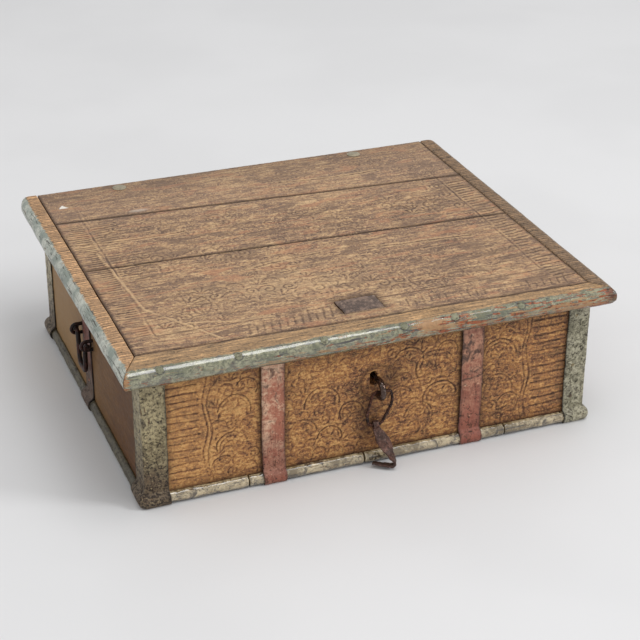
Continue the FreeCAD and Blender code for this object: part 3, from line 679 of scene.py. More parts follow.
class Graph:
    """One material's node tree."""

    def __init__(self, name: str) -> None:
        """Make an empty node material.

        Args:
            name: The material's name.
        """
        self.material = bpy.data.materials.new(name)
        self.material.use_nodes = True
        self.tree = self.material.node_tree
        self.tree.nodes.clear()
        self.coords = self.add("ShaderNodeTexCoord", out="Object")

    def add(
        self,
        kind: str,
        settings: dict[str, Any] | None = None,
        sockets: dict[Any, Any] | None = None,
        out: str | int | None = 0,
    ) -> Val:
        """Add any node.

        Args:
            kind: The node's type.
            settings: Its properties, which are set first.
            sockets: Values or links for its inputs, by name or number.
            out: The output that is wanted, by name or number, or None where there is none.

        Returns:
            That output.
        """
        node = self.tree.nodes.new(kind)
        for key, value in (settings or {}).items():
            setattr(node, key, value)
        for key, value in (sockets or {}).items():
            if isinstance(value, Val):
                self.tree.links.new(value.socket, node.inputs[key])
            else:
                node.inputs[key].default_value = value
        return Val(self, None if out is None else node.outputs[out])

    def axis(self, way: Way) -> Val:
        """One of the Object coordinates."""
        return self.add("ShaderNodeSeparateXYZ", None, {0: self.coords}, way.value)

    def scaled(self, size: float | Sequence[float]) -> Val:
        """Object coordinates counted in cells of a size."""
        cell = (size, size, size) if isinstance(size, (int, float)) else tuple(size)
        return self.add("ShaderNodeVectorMath", {"operation": "DIVIDE"}, {0: self.coords, 1: cell})

    def noise(
        self, size: float | Sequence[float], detail: float = 2.0, rough: float = 0.5, warp: float = 0.0
    ) -> Val:
        """Cloud noise between 0 and 1.

        Args:
            size: A cell's length in metres, or one for each axis.
            detail: How many octaves are added.
            rough: How strong each octave is beside the last.
            warp: How far the noise is stirred.

        Returns:
            The noise.
        """
        sockets = {"Scale": 1.0, "Detail": detail, "Roughness": rough, "Distortion": warp}
        return self.add("ShaderNodeTexNoise", None, {"Vector": self.scaled(size), **sockets})

    def noted(self, name: str) -> Val:
        """A number that is stored on the piece's points."""
        return self.add("ShaderNodeAttribute", {"attribute_name": name}, None, "Fac")

    def mix(self, first: Val | Colour, second: Val | Colour, amount: Val | float) -> Val:
        """Mix two colours by an amount."""
        settings = {"data_type": "RGBA", "clamp_factor": True}
        return self.add("ShaderNodeMix", settings, {0: amount, 6: tint(first), 7: tint(second)}, 2)

    def over(self, base: Val | Colour, *coats: tuple[Val | Colour, Val | float]) -> Val:
        """Lay colours over a base, one after the other.

        Args:
            base: The first colour.
            coats: Each later colour with its amount.

        Returns:
            The colour in the end.
        """
        for colour, amount in coats:
            base = self.mix(base, colour, amount)
        return base

    def shades(self, value: Val, stops: Sequence[tuple[float, Colour]]) -> Val:
        """A colour that runs through several as a value grows.

        Args:
            value: The value.
            stops: Rising values, each with its colour.

        Returns:
            The colour.
        """
        steps = zip(stops, stops[1:])
        return self.over(stops[0][1], *((shade, value.band(low, high)) for (low, _), (high, shade) in steps))

    def bump(self, height: Val, depth: float) -> Val:
        """A normal bent by a height between 0 and 1, which spans a depth in metres."""
        return self.add("ShaderNodeBump", None, {"Strength": 1.0, "Distance": depth, "Height": height})

    def surface(self, **sockets: Any) -> bpy.types.Material:
        """End the tree in a Principled shader.

        Args:
            sockets: The shader's inputs, with underscores for spaces.

        Returns:
            The finished material.
        """
        named = {key.replace("_", " "): value for key, value in sockets.items()}
        shader = self.add("ShaderNodeBsdfPrincipled", None, named)
        self.add("ShaderNodeOutputMaterial", None, {"Surface": shader}, None)
        return self.material


def tint(colour: Val | Colour) -> Val | tuple[float, ...]:
    """A colour socket's value.

    Args:
        colour: An output, or display levels from 0 to 255.

    Returns:
        The output as it is, or the levels made linear.
    """
    if isinstance(colour, Val):
        return colour
    return tuple(((c / 255 + 0.055) / 1.055) ** 2.4 for c in colour) + (1.0,)


def toned(colour: Colour, share: float) -> Colour:
    """A colour whose levels are scaled, up to white."""
    return tuple(min(255, c * share) for c in colour)


# Finishes


@dataclass(frozen=True)
class WornWood:
    """Old carved or plain wood, with grain, stains, dirt and painted shade in the cuts, and pale
    high spots that are rubbed wear and painted highlight.
    """

    name: str
    pale: Colour
    warm: Colour
    body: Colour
    stain: Colour
    deep: Colour
    way: Way = Way.X
    fleck: float = 9 * MM
    grain_w: float = 3.2 * MM
    streaky: float = 0.25
    cloud: float = 48 * MM
    painted_light_left: float = 0.0
    smudged: float = 0.0
    flush: Colour = (172, 120, 88)
    dulled: Colour = (160, 133, 110)
    painted_light_back: float = 0.0
    # Colour of the painted light that lightens the back of a side board.
    faded: Colour = (176, 142, 97)
    raw: Colour = (226, 220, 210)
    cut: float = 0.8
    speckle: float = 1.0
    rough: float = 0.55
    slot: str = "plain_wood"

    def material(self) -> bpy.types.Material:
        """Build the wood's node material.

        Returns:
            The material.
        """
        graph = Graph(self.name)
        streak = graph.noise(self.way.stretched(1.2 * self.grain_w, 70 * MM), 4, 0.6, 0.7)
        fleck = graph.noise(self.way.stretched(self.grain_w, self.fleck), 3, 0.6, 1.0)
        thread = graph.noise(self.way.stretched(0.8 * self.grain_w, 34 * MM), 2, 0.5, 0.6)
        cloud = graph.noise(self.cloud, 4, 0.6, 0.5)
        mottle = graph.noise(2.6 * self.grain_w, 4, 0.7, 1.2)
        speck = graph.noise(0.6 * self.grain_w, 2, 0.6, 0.6)
        # Cuts are darkened as painted shade with dirt, crests made pale as painted highlight with rubbed wear.
        cut, high = graph.noted("carve"), graph.noted("high")
        grime, bare, calm = graph.noted("grime"), graph.noted("bare"), graph.noted("calm")
        tone = streak * (0.5 * self.streaky) + mottle * (0.5 - 0.5 * self.streaky)
        tone = tone + fleck * 0.3 + cloud * 0.2
        # The board is made lighter towards its left end: painted light.
        if self.painted_light_left:
            tone = tone - graph.axis(Way.X) * self.painted_light_left
        spread = 0.035 / self.speckle
        colours = (self.deep, self.stain, self.body, self.warm, self.pale)
        base = graph.shades(tone, [(0.5 + k * spread, c) for k, c in zip((-2.2, -1, 0, 1, 2.2), colours)])
        fine, grit = (1 - calm) * self.streaky * self.speckle, (1 + calm) * self.speckle
        base = graph.over(
            base,
            (self.deep, thread.band(0.42, 0.36) * fine),
            (self.pale, thread.band(0.58, 0.64) * 0.7 * fine),
            (self.deep, speck.band(0.44, 0.35) * 0.45 * grit),
            (self.pale, speck.band(0.56, 0.65) * 0.5 * grit),
        )
        if self.smudged:
            smudge = graph.noise(self.way.stretched(17 * MM, 60 * MM), 4, 0.6, 0.8)
            plain = graph.shades(streak, [(0.38, self.stain), (0.5, self.body), (0.62, self.warm)])
            base = graph.over(
                base,
                (toned(self.stain, 0.85), smudge.band(0.52, 0.62) * self.smudged),
                (self.flush, smudge.band(0.46, 0.36) * 0.8 * self.smudged),
                (self.dulled, graph.noted("dull")),
                (plain, graph.noted("plain")),
            )
        # A side board is painted lighter towards its back, where more light falls: painted light.
        if self.painted_light_back:
            back = (graph.axis(Way.Y) / 2 + cloud * 60 * MM).band(-60 * MM, 140 * MM)
            base = graph.mix(base, self.faded, back * self.painted_light_back)
        # This colour darkens both dirt and painted shade, at seams, edges and under the nosing.
        dirt = tuple(0.4 * c + 0.15 * d for c, d in zip(self.deep, self.stain))
        base = graph.over(
            base,
            (self.pale, high * (0.3 + 0.7 * mottle)),
            (toned(self.deep, 0.75), cut * (1 - 0.55 * calm) * self.cut),
            (dirt, grime * (0.35 + 0.9 * mottle)),
            (self.raw, bare),
        )
        height = streak * 0.35 + thread * 0.35 + mottle * 0.5 + speck * 0.3
        rough = self.rough + (mottle - 0.5) * 0.3 + grime * 0.1
        normal = graph.bump(height, 1.2 * MM)
        return graph.surface(Base_Color=base, Roughness=rough, Normal=normal, Specular_IOR_Level=0.25)


class Bare(Enum):
    """Where paint has gone and the wood under it shows."""

    NOWHERE = "nowhere"
    TOP_OF_FRONT = "top of the nosing, behind its round"
    TOP_OF_SIDE = "top of a side moulding, inside its round"


@dataclass(frozen=True)
class WornPaint:
    """Old paint with fading, hair cracks, chips down to an undercoat, pits, and dirt and painted shade."""

    name: str
    coat: Colour
    faded: Colour
    under: Colour
    pit: Colour
    wood: Colour = (150, 118, 84)
    foot: Colour | None = None
    way: Way = Way.X
    chips: float = 0.62
    pits: float = 0.44
    blotch: float = 0.6
    scrape: float = 1.0
    specks: float = 0.25
    mottled: float = 0.45
    cracks: float = 0.85
    coat_gloss: float = 0.0
    rough: float = 0.35
    wear_right: float = 0.0
    bare: Bare = Bare.NOWHERE
    slot: str = "plinth_paint"

    def bare_share(self, graph: Graph) -> Val | None:
        """How far the paint has gone at a place, from 0 to 1.

        Args:
            graph: The material's nodes.

        Returns:
            The share, or nothing where all the paint is kept.
        """
        if self.bare is Bare.TOP_OF_FRONT:
            inside = (graph.axis(Way.Y) - (CHEST.lid_front + 11 * MM)) / (6 * MM)
        elif self.bare is Bare.TOP_OF_SIDE:
            inside = (CHEST.lid_half_w - 9 * MM - abs(graph.axis(Way.X))) / (6 * MM)
        else:
            return None
        ragged = graph.noise(5 * MM, 4, 0.65) + graph.noise(40 * MM, 2) * 0.6
        on_top = (graph.axis(Way.Z) - (CHEST.lid_top - 9 * MM)).band(0, 4 * MM)
        return (inside + (ragged - 0.8) * 1.5).band(-0.2, 0.25) * on_top

    def material(self) -> bpy.types.Material:
        """Build the paint's node material.

        Returns:
            The material.
        """
        graph = Graph(self.name)
        patch = graph.noise(40 * MM, 4, 0.6, 0.3)
        smear = graph.noise(13 * MM, 4, 0.65, 0.8)
        flake = graph.noise(self.way.stretched(3.2 * MM, 22 * MM), 4, 0.65, 0.5)
        crack = graph.noise(self.way.stretched(2.0 * MM, 34 * MM), 3, 0.6, 0.6)
        mottle = graph.noise(5 * MM, 4, 0.65, 0.8)
        speck = graph.noise(2.2 * MM, 3, 0.65)
        grime, worn = graph.noted("grime"), graph.noted("worn")
        fading = patch * (0.8 - self.mottled) + smear * 0.2 + mottle * self.mottled
        blotch = (smear * 0.65 + patch * 0.35).band(0.51, 0.62) * self.blotch
        base = graph.over(self.coat, (self.faded, fading.band(0.44, 0.57)), (self.pit, blotch))
        pit = speck * 0.5 + mottle * 0.5
        if self.foot is not None:
            low = (graph.axis(Way.Z) + (smear - 0.5) * 90 * MM).band(95 * MM, 20 * MM)
            base = graph.mix(base, self.foot, low * 0.8)
            pit = pit - low * 0.04
        bias = worn * 0.22 + graph.axis(Way.X) * self.wear_right
        chip = (flake * 0.75 + patch * 0.25 + bias).band(self.chips, self.chips + 0.03)
        pit = pit.band(self.pits, self.pits - 0.07)
        line = crack.band(0.43, 0.37)
        kept = 1 - chip
        base = graph.over(
            base,
            (self.pit, line * self.cracks),
            (graph.mix(self.under, self.pit, mottle.band(0.52, 0.4) * 0.7), chip),
            (self.pit, pit * (1 - chip * 0.5)),
            (toned(self.faded, 1.25), speck.band(0.61, 0.72) * self.specks * kept),
        )
        if self.scrape < 1:
            scrape = graph.noise(self.way.stretched(3.0 * MM, 40 * MM), 4, 0.65, 0.4) + bias
            scrape = scrape.band(self.scrape, self.scrape + 0.05) * (0.4 + 0.8 * mottle)
            base = graph.mix(base, self.wood, scrape)
            kept = kept * (1 - scrape)
        # Dirt and painted shade darken the paint where the piece stores them.
        base = graph.mix(base, toned(self.pit, 0.5), grime)
        rough = self.rough + pit * 0.3 + chip * 0.25 + line * 0.2 + (mottle - 0.5) * 0.15 + grime * 0.2
        bare = self.bare_share(graph)
        if bare is not None:
            kept = kept * (1 - bare)
            streak = graph.noise(Way.X.stretched(3.4 * MM, 40 * MM), 4, 0.6, 0.6)
            tones = ((0.38, 0.5), (0.48, 0.85), (0.54, 1.0), (0.62, 1.25))
            stops = [(value, toned(self.wood, share)) for value, share in tones]
            timber = graph.shades(streak * 0.5 + mottle * 0.3 + speck * 0.2, stops)
            # The bare wood darkens the same way, with dirt and painted shade.
            timber = graph.mix(timber, toned(self.wood, 0.4), grime)
            base = graph.mix(base, timber, bare)
            rough = rough + bare * (0.55 - self.rough)
        height = mottle * 0.3 + speck * 0.15 + (1 - chip) * 0.4 + (1 - pit) * 0.4 + (1 - line) * 0.3
        gloss = kept * self.coat_gloss if self.coat_gloss else 0.0
        return graph.surface(
            Base_Color=base, Roughness=rough, Normal=graph.bump(height, 0.3 * MM), Specular_IOR_Level=0.55,
            Coat_Weight=gloss, Coat_Roughness=0.14, Coat_IOR=2.0,
        )


@dataclass(frozen=True)
class ForgedIron:
    """Hammered iron with rust, dark scale and rubbed high spots."""

    name: str
    scale: Colour = (66, 50, 46)
    rust: Colour = (104, 66, 50)
    rubbed: Colour = (128, 112, 106)
    rough: float = 0.48
    metal: float = 0.55
    slot: str = "iron"

    def material(self) -> bpy.types.Material:
        """Build the iron's node material.

        Returns:
            The material.
        """
        graph = Graph(self.name)
        cloud = graph.noise(12 * MM, 3, 0.6, 0.5)
        mottle = graph.noise(3.5 * MM, 4, 0.65, 0.6)
        speck = graph.noise(1.0 * MM, 2, 0.6)
        base = graph.over(
            self.scale,
            (self.rust, (cloud * 0.6 + mottle * 0.4).band(0.44, 0.6)),
            (self.rubbed, (mottle * 0.6 + speck * 0.4).band(0.55, 0.67) * 0.75),
            (toned(self.scale, 0.45), mottle.band(0.42, 0.3)),
        )
        rough = self.rough + (mottle - 0.5) * 0.5
        normal = graph.bump(mottle * 0.7 + speck * 0.3, 0.5 * MM)
        return graph.surface(Base_Color=base, Roughness=rough, Metallic=self.metal, Normal=normal)


Finish = WornWood | WornPaint | ForgedIron


class FinishRack:
    """Makes each finish's material once and fits pieces with it."""

    def __init__(self, nodes: dict[str, Piece]) -> None:
        """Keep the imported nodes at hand.

        Args:
            nodes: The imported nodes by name.
        """
        self.nodes = nodes
        self.made: dict[str, bpy.types.Material] = {}

    def material(self, finish: Finish) -> bpy.types.Material:
        """The finish's material, made on first use.

        Args:
            finish: The finish.

        Returns:
            Its material.
        """
        if finish.name not in self.made:
            self.made[finish.name] = finish.material()
        return self.made[finish.name]

    def fit(self, piece: Piece, finish: Finish, body: Body, *nodes: str) -> None:
        """Dress a new piece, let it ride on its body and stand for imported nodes.

        Args:
            piece: The piece, in place.
            finish: Its finish.
            body: The body that it moves with.
            nodes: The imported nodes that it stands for.
        """
        piece.data.materials.clear()
        piece.data.materials.append(self.material(finish))
        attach(piece, body.value)
        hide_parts(*nodes)
        LOG.info("%s: %d faces, %s", piece.name, len(piece.data.polygons), finish.name)

    def dress(self, names: Sequence[str], finish: Finish) -> None:
        """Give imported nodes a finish.

        Args:
            names: The nodes.
            finish: Their finish.
        """
        for name in names:
            for holder in self.nodes[name].material_slots:
                holder.material = self.material(finish)
            LOG.info("%s: packed node, %s", name, finish.name)


LID_WOOD = WornWood(
    "lid_wood", (202, 169, 128), (174, 139, 103), (151, 119, 92), (129, 101, 82), (90, 68, 55), slot="lid_wood",
    rough=0.5, fleck=18 * MM, grain_w=4.6 * MM, streaky=0.5, cloud=120 * MM, smudged=0.7, cut=0.8,
)
FRONT_WOOD = WornWood(
    "front_wood", (210, 162, 104), (176, 121, 70), (151, 103, 66), (126, 83, 61), (78, 51, 38), painted_light_left=0.06,
    cut=0.95, speckle=1.15, slot="carved_front",
)
# Side boards' browns are darkened as painted shade, for sides that stand in shade.
SHADED_SIDE_WOOD = WornWood(
    "shaded_side_wood", (122, 84, 43), (106, 69, 33), (94, 60, 28), (79, 49, 25), (66, 42, 21), way=Way.Y, streaky=0.8,
    speckle=0.5, painted_light_back=0.6,
)
BACK_WOOD = WornWood(
    "back_wood", (138, 104, 66), (124, 90, 54), (112, 79, 47), (94, 66, 42), (80, 55, 33), streaky=0.8,
    speckle=0.5,
)
INNER_WOOD = WornWood(
    "inner_wood", (186, 152, 114), (172, 138, 100), (160, 124, 88), (140, 108, 82), (122, 90, 64), way=Way.Y,
    streaky=0.8, speckle=0.5, slot="bare_wood",
)
NOSING_PAINT = WornPaint(
    "nosing_paint", (92, 94, 66), (152, 149, 118), (150, 76, 34), (36, 27, 18), (168, 133, 93), chips=0.58,
    pits=0.44, blotch=0.7, scrape=0.585, specks=0.0, mottled=0.35, cracks=1.0, coat_gloss=0.75, rough=0.16,
    wear_right=0.2, bare=Bare.TOP_OF_FRONT, slot="nosing_paint",
)
NAIL_PAINT = WornPaint(
    "nail_paint", (112, 112, 88), (140, 138, 112), (132, 84, 50), (52, 42, 32), rough=0.55, slot="nosing_paint"
)
LEFT_MOULDING_PAINT = WornPaint(
    "left_moulding_paint", (132, 140, 130), (196, 198, 186), (116, 92, 70), (66, 62, 54), (198, 155, 112),
    way=Way.Y, chips=0.61, pits=0.41, blotch=0.4, specks=0.1, mottled=0.2, rough=0.38, bare=Bare.TOP_OF_SIDE,
    slot="moulding_paint",
)
RIGHT_MOULDING_PAINT = WornPaint(
    "right_moulding_paint", (118, 98, 76), (142, 122, 98), (104, 82, 62), (60, 48, 38), (146, 116, 86),
    way=Way.Y, chips=0.60, pits=0.46, rough=0.5, bare=Bare.TOP_OF_SIDE, slot="moulding_paint",
)
PLINTH_PAINT = WornPaint(
    "plinth_paint", (118, 102, 72), (198, 181, 146), (104, 76, 48), (46, 34, 22), chips=0.60, pits=0.44,
    blotch=0.9, specks=0.0, mottled=0.25, coat_gloss=0.7, rough=0.2,
)
# Shaded copy of the plinth paint: its darker colours are painted shade on the plinth's sides.
SHADED_SIDE_PLINTH_PAINT = WornPaint(
    "shaded_side_plinth_paint", (68, 61, 42), (94, 86, 63), (68, 50, 33), (40, 32, 22), way=Way.Y, chips=0.60,
    pits=0.46, rough=0.38,
)
GREEN_STRAP = WornPaint(
    "green_strap", (114, 102, 71), (174, 160, 122), (104, 78, 50), (42, 31, 20), foot=(82, 60, 42), way=Way.Z,
    chips=0.60, pits=0.475, blotch=0.75, specks=0.5, cracks=0.2, rough=0.42, slot="green_strap",
)
RIGHT_GREEN_STRAP = WornPaint(
    "right_green_strap", (116, 111, 88), (180, 174, 149), (96, 80, 55), (50, 42, 30), way=Way.Z, chips=0.60,
    pits=0.475, blotch=0.6, cracks=0.2, rough=0.42, slot="green_strap",
)
RED_STRAP = WornPaint(
    "red_strap", (166, 102, 77), (222, 184, 152), (114, 70, 50), (82, 50, 38), foot=(136, 74, 56), way=Way.Z,
    chips=0.60, pits=0.43, blotch=0.85, mottled=0.3, cracks=0.35, rough=0.48, slot="red_strap",
)
RIGHT_RED_STRAP = WornPaint(
    "right_red_strap", (142, 84, 64), (186, 134, 106), (104, 66, 48), (72, 46, 35), foot=(138, 70, 54),
    way=Way.Z, chips=0.60, pits=0.44, blotch=0.95, mottled=0.3, cracks=0.35, rough=0.48, slot="red_strap",
)
# Darker than the front straps' red: painted shade for straps on the side walls.
SHADED_SIDE_RED_STRAP = WornPaint(
    "shaded_side_red_strap", (108, 54, 42), (130, 78, 62), (80, 50, 38), (48, 32, 26), foot=(86, 74, 58), way=Way.Z,
    chips=0.60, pits=0.45, blotch=0.75, rough=0.5, slot="red_strap",
)
IRON = ForgedIron("forged_iron")
HOOK_IRON = ForgedIron("hook_iron", (72, 53, 47), (100, 70, 60), (146, 122, 112), 0.46)
LINK_IRON = ForgedIron("link_iron", (44, 32, 28), (86, 52, 40), (156, 136, 126), 0.3, 0.7)
HANDLE_IRON = ForgedIron("handle_iron", (32, 24, 22), (68, 37, 31), (88, 68, 62), 0.42)
BRIGHT_IRON = ForgedIron("rubbed_iron", (82, 68, 62), (98, 72, 60), (206, 198, 194), 0.09, 0.85)
PLATE_IRON = ForgedIron("plate_iron", (84, 68, 60), (126, 104, 90), (182, 162, 142), 0.6, 0.15)
RIVET_IRON = ForgedIron("rivet_iron", (140, 132, 112), (158, 146, 122), (184, 176, 158), 0.5, 0.15)


# Sub-assemblies


@dataclass
class CarvedLid:
    """Three carved planks with an iron plate let into the front one."""

    step: float = 1.35 * MM
    blade: float = 1.7 * MM
    nose: Spot = (-232 * MM, -248.5 * MM)
    seam_front: Spot = (14 * MM, -11 * MM)
    seam_back: Spot = (175 * MM, 139 * MM)
    tongue_t: float = 9 * MM
    tongue_l: float = 8.5 * MM
    border: float = 262 * MM
    border_front: float = -193 * MM
    border_back: float = 250 * MM
    mild: float = 0.8 * MM
    deep: float = 1.1 * MM
    crack: float = 1.6 * MM
    rib: float = 0.5 * MM
    worn_back: float = 100 * MM
    chip: Spot = (-276 * MM, 229 * MM)
    chip_r: float = 7 * MM
    scuff: Spot = (-179 * MM, 180 * MM)
    scuff_r: Spot = (17 * MM, 6 * MM)
    # A painted pool of light on the front plank, and its reach.
    painted_glow: Spot = (-70 * MM, -115 * MM)
    painted_glow_r: Spot = (110 * MM, 40 * MM)
    plate_low: Spot = (-28.5 * MM, -218 * MM)
    plate_high: Spot = (28.5 * MM, -180 * MM)
    plate_t: float = 2.4 * MM
    plate_sink: float = 0.6 * MM
    pocket: float = 3.1 * MM
    grain: Grain = field(default_factory=lambda: Grain(11))

    def carving(self, spots: Array) -> Array:
        """Depth of the carving on the lid's face.

        Args:
            spots: Places in plan, one row each.

        Returns:
            Depths below the uncut face.
        """
        carver = Carver(spots, self.blade, self.grain)
        edge, front, back = self.border, self.border_front, self.border_back
        mild, deep = self.mild, self.deep
        carver.stroke([(-edge, back), (-edge, front), (edge, front), (edge, back)], mild)
        carver.foliage((-edge + 8 * MM, front + 8 * MM), (edge - 8 * MM, back - 10 * MM), 24 * MM, mild, 5)
        for centre, radius in (((22 * MM, 110 * MM), 26 * MM), ((-202 * MM, -129 * MM), 30 * MM)):
            carver.arc(centre, radius, 0, 360, mild)
            carver.fan(centre, radius, 90, 345, 17, mild)
        carver.comb((-158 * MM, -228 * MM), (-38 * MM, -220 * MM), (0.007, 0.032), 10 * MM, deep)
        carver.comb((52 * MM, -226 * MM), (280 * MM, -236 * MM), (0.004, 0.02), 10 * MM, mild)
        carver.comb((edge + 5 * MM, -225 * MM), (edge + 5 * MM, 120 * MM), (0.028, 0.002), 8 * MM, deep)
        carver.comb((-edge - 5 * MM, -190 * MM), (-edge - 5 * MM, 160 * MM), (-0.03, 0.001), 6 * MM, deep)
        carver.comb((-edge + 4 * MM, -150 * MM), (-edge + 4 * MM, 150 * MM), (0.05, 0.002), 7 * MM, mild)
        return carver.depth

    def cracks(self, spots: Array) -> Array:
        """Depth of the drying cracks on the lid's face.

        Args:
            spots: Places in plan, one row each.

        Returns:
            Depths below the uncut face.
        """
        carver = Carver(spots, self.blade, self.grain)
        for ends in (
            ((74, -47), (118, -54), (170, -56), (221, -61)),
            ((-87, -52), (-40, -45), (8, -42)),
            ((-290, 96), (-210, 88), (-140, 90)),
            ((40, 205), (120, 196), (190, 198)),
        ):
            carver.stroke(np.array(ends) * MM, self.crack)
        return carver.depth

    def ribs(self, spots: Array) -> Array:
        """Height of the raised, rubbed lines that frame the lid's face.

        Args:
            spots: Places in plan, one row each.

        Returns:
            Heights above the uncut face.
        """
        carver = Carver(spots, 1.5 * self.blade, self.grain)
        for line in (
            ((-270, 60), (-262, -40), (-256, -120), (-222, -172), (-189, -226)),
            ((-222, -172), (-150, -190), (-110, -193)),
        ):
            carver.stroke(np.array(line) * MM, self.rib)
        return carver.depth

    def plank(self, name: str, front: Spot, back: Spot) -> Piece:
        """Model one plank between two slanted seams.

        Args:
            name: The piece's name.
            front: The front seam's y at the left and right ends.
            back: The back seam's y at the left and right ends.

        Returns:
            The plank.
        """
        half_gap = CHEST.plank_gap / 2
        half_w = CHEST.half_w - half_gap
        deepest = max(back) - min(front)
        piece = Bench.grid(name, int(2 * half_w / self.step), int(deepest / self.step))
        share = Bench.points(piece)[:, :2] + 0.5
        x = -half_w + 2 * half_w * share[:, 0]
        y0 = front[0] + (front[1] - front[0]) * share[:, 0] + half_gap
        y1 = back[0] + (back[1] - back[0]) * share[:, 0] - half_gap
        y = y0 + (y1 - y0) * share[:, 1]
        rim = np.minimum(np.minimum(y - y0, y1 - y), half_w - np.abs(x))
        drop, dirt, notes = self.face(rows(x, y), rim)
        rise = Bench.rise(piece, dirt, 3)
        Bench.place(piece, rows(x, y, CHEST.lid_top - drop))
        over = (CHEST.lid_t - self.tongue_t) / 2
        Bench.skirt(piece, [(0, 0, -over), (0, 0, -self.tongue_t), (0, 0, -over)])
        self.true_up(piece, over)
        # Crests are painted pale as highlight; hollows are painted dark as shade, with dirt.
        notes["high"] = unit(rise / self.rib + notes["high"])
        hidden = Bench.points(piece)[:, 2] < CHEST.lid_top - 6 * MM
        Bench.note(piece, carve=unit(-rise / (0.38 * MM)), plain=hidden, **notes)
        Bench.smooth(piece)
        return piece

    def face(self, spots: Array, rim: Array) -> tuple[Array, Array, dict[str, Array]]:
        """Work one plank's upper face.

        Args:
            spots: Places in plan, one row each.
            rim: Their distances from the plank's edges.

        Returns:
            How far the places lie below the lid's top, the depths that set the dirt and painted shade in
            the hollows and the painted highlight on the crests, and what the finish reads at each place,
            by attribute name.
        """
        x, y = spots.T
        places = rows(x, y, 0)
        rear = unit((y - self.worn_back) / 0.08)
        wear = np.clip(0.55 + 0.9 * self.grain.layers(places, 0.06), 0.1, 1.0) * (1 - 0.4 * rear)
        groove, crown = self.grain.scales(spots, 8.5 * MM)
        lines = np.maximum(self.grain.scribble(places, 10 * MM), 0.5 * groove)
        furrows = self.grain.scribble(places / np.array([9, 1, 1]), 4.5 * MM)
        sides = np.clip((np.abs(x + 0.04) - 0.13) / 0.1, 0.2, 1)
        lines = np.maximum(lines * (1.15 - 0.7 * sides), furrows * sides)
        cut = np.maximum(self.carving(spots) * wear, 0.45 * MM * lines * wear**2) + self.cracks(spots)
        ribs = self.ribs(spots) * unit(0.75 + self.grain.layers(places, 0.03))
        arris = 0.8 * MM * bell(rim, 1.2 * MM)
        wave = 0.5 * MM * (1 + self.grain.layers(places, (0.16, 0.05, 1))) + 0.25 * MM * (1 - crown)
        wall = np.maximum(np.abs(x) - self.plate_high[0], np.abs(y - self.plate_middle) - self.plate_half)
        inset = self.pocket * unit(-wall / self.step)
        stain = np.exp(-(unit(wall) / (6 * MM)) ** 1.5) * 0.7
        behind = 0.35 * unit((y - 205 * MM) / (70 * MM))
        # Pale patch is painted light; ribs are rubbed wear; seams darkened as dirt and painted shade.
        painted_glow = 0.5 * blot(x, y, self.painted_glow, self.painted_glow_r)
        notes = {
            "high": painted_glow + 1.2 * ribs / self.rib,
            "grime": most(bell(rim, 2.7 * MM), stain, behind),
            "bare": self.bare_spots(spots),
            "calm": np.maximum(0.85 * (1 - sides), 0.8 * unit((y - 0.12) / 0.06)),
            "dull": 0.2 * rear,
        }
        drop = cut + arris + wave + inset - np.minimum(ribs, wave)
        return drop, cut + 0.1 * MM * (1 - crown) - ribs, notes

    @property
    def plate_middle(self) -> float:
        """The plate's middle, along Y."""
        return (self.plate_low[1] + self.plate_high[1]) / 2

    @property
    def plate_half(self) -> float:
        """Half of the plate's depth, along Y."""
        return (self.plate_high[1] - self.plate_low[1]) / 2

    def bare_spots(self, spots: Array) -> Array:
        """Where a chip and a scuff have left pale bare wood.

        Args:
            spots: Places in plan, one row each.

        Returns:
            A share from 0 to 1 for each place.
        """
        chip = (spots - self.chip) / self.chip_r
        wedge = (chip[:, 1] > -0.7) & (chip[:, 1] < 0.9 - 1.7 * np.abs(chip[:, 0]))
        scuff = (spots - self.scuff) / np.array(self.scuff_r)
        return np.maximum(wedge * 1.0, 0.3 * unit(1 - (scuff**2).sum(1)))

    def true_up(self, piece: Piece, over: float) -> None:
        """Level a plank's underside and draw out its end tongues.

        Args:
            piece: The plank.
            over: The thickness above and below the tongues.
        """
        points = Bench.points(piece)
        for drop in (over, over + self.tongue_t, CHEST.lid_t):
            level = CHEST.lid_top - drop
            near = np.abs(points[:, 2] - level + 2.5 * MM) < 3.9 * MM
            points[near & (points[:, 2] < CHEST.lid_top - 6.5 * MM), 2] = level
        Bench.place(piece, points)
        low = CHEST.lid_top - CHEST.lid_t + over
        for side in (-1, 1):
            Bench.choose(
                piece,
                lambda middle, normal: (normal[:, 0] * side > 0.9)
                & (middle[:, 2] > low) & (middle[:, 2] < low + self.tongue_t),
            )
            Bench.push(piece, (side * self.tongue_l, 0, 0))

    def plate(self) -> Piece:
        """Model the inlaid plate, pitted and worn at its edges.

        Returns:
            The plate.
        """
        width = self.plate_high[0] - self.plate_low[0]
        depth = self.plate_high[1] - self.plate_low[1]
        piece = Bench.grid("inlaid_plate", 60, 40)
        share = Bench.points(piece)[:, :2]
        middle = np.array([1.2 * MM, self.plate_middle])
        spots = share * (width - 3 * MM, depth - 2 * MM) + middle
        places = np.pad(spots, ((0, 0), (0, 1)))
        rim = (0.5 - np.abs(share)).min(axis=1)
        ragged = (rim < 0.03) * self.grain.layers(places, 8 * MM)
        spots = spots - np.sign(share) * ragged[:, None] * MM
        z = CHEST.lid_top - self.plate_sink - 0.5 * MM * (1 + self.grain.layers(places, 7 * MM, 4))
        Bench.place(piece, np.column_stack([spots, z - 0.8 * MM * bell(rim, 0.03)]))
        Bench.skirt(piece, [(0, 0, -self.plate_t)])
        Bench.smooth(piece)
        return piece

    def build(self, rack: FinishRack) -> None:
        """Model the planks and the plate, and fit them.

        Args:
            rack: The finishes.
        """
        half_gap = CHEST.plank_gap / 2
        rear = (CHEST.lid_back + half_gap, CHEST.lid_back + half_gap)
        for label, front, back in (
            ("back", self.seam_back, rear),
            ("middle", self.seam_front, self.seam_back),
            ("front", self.nose, self.seam_front),
        ):
            plank = self.plank("carved_plank_" + label, front, back)
            rack.fit(plank, LID_WOOD, Body.LID, "lid_plank_" + label)
        rack.fit(self.plate(), PLATE_IRON, Body.LID, "lid_plate")


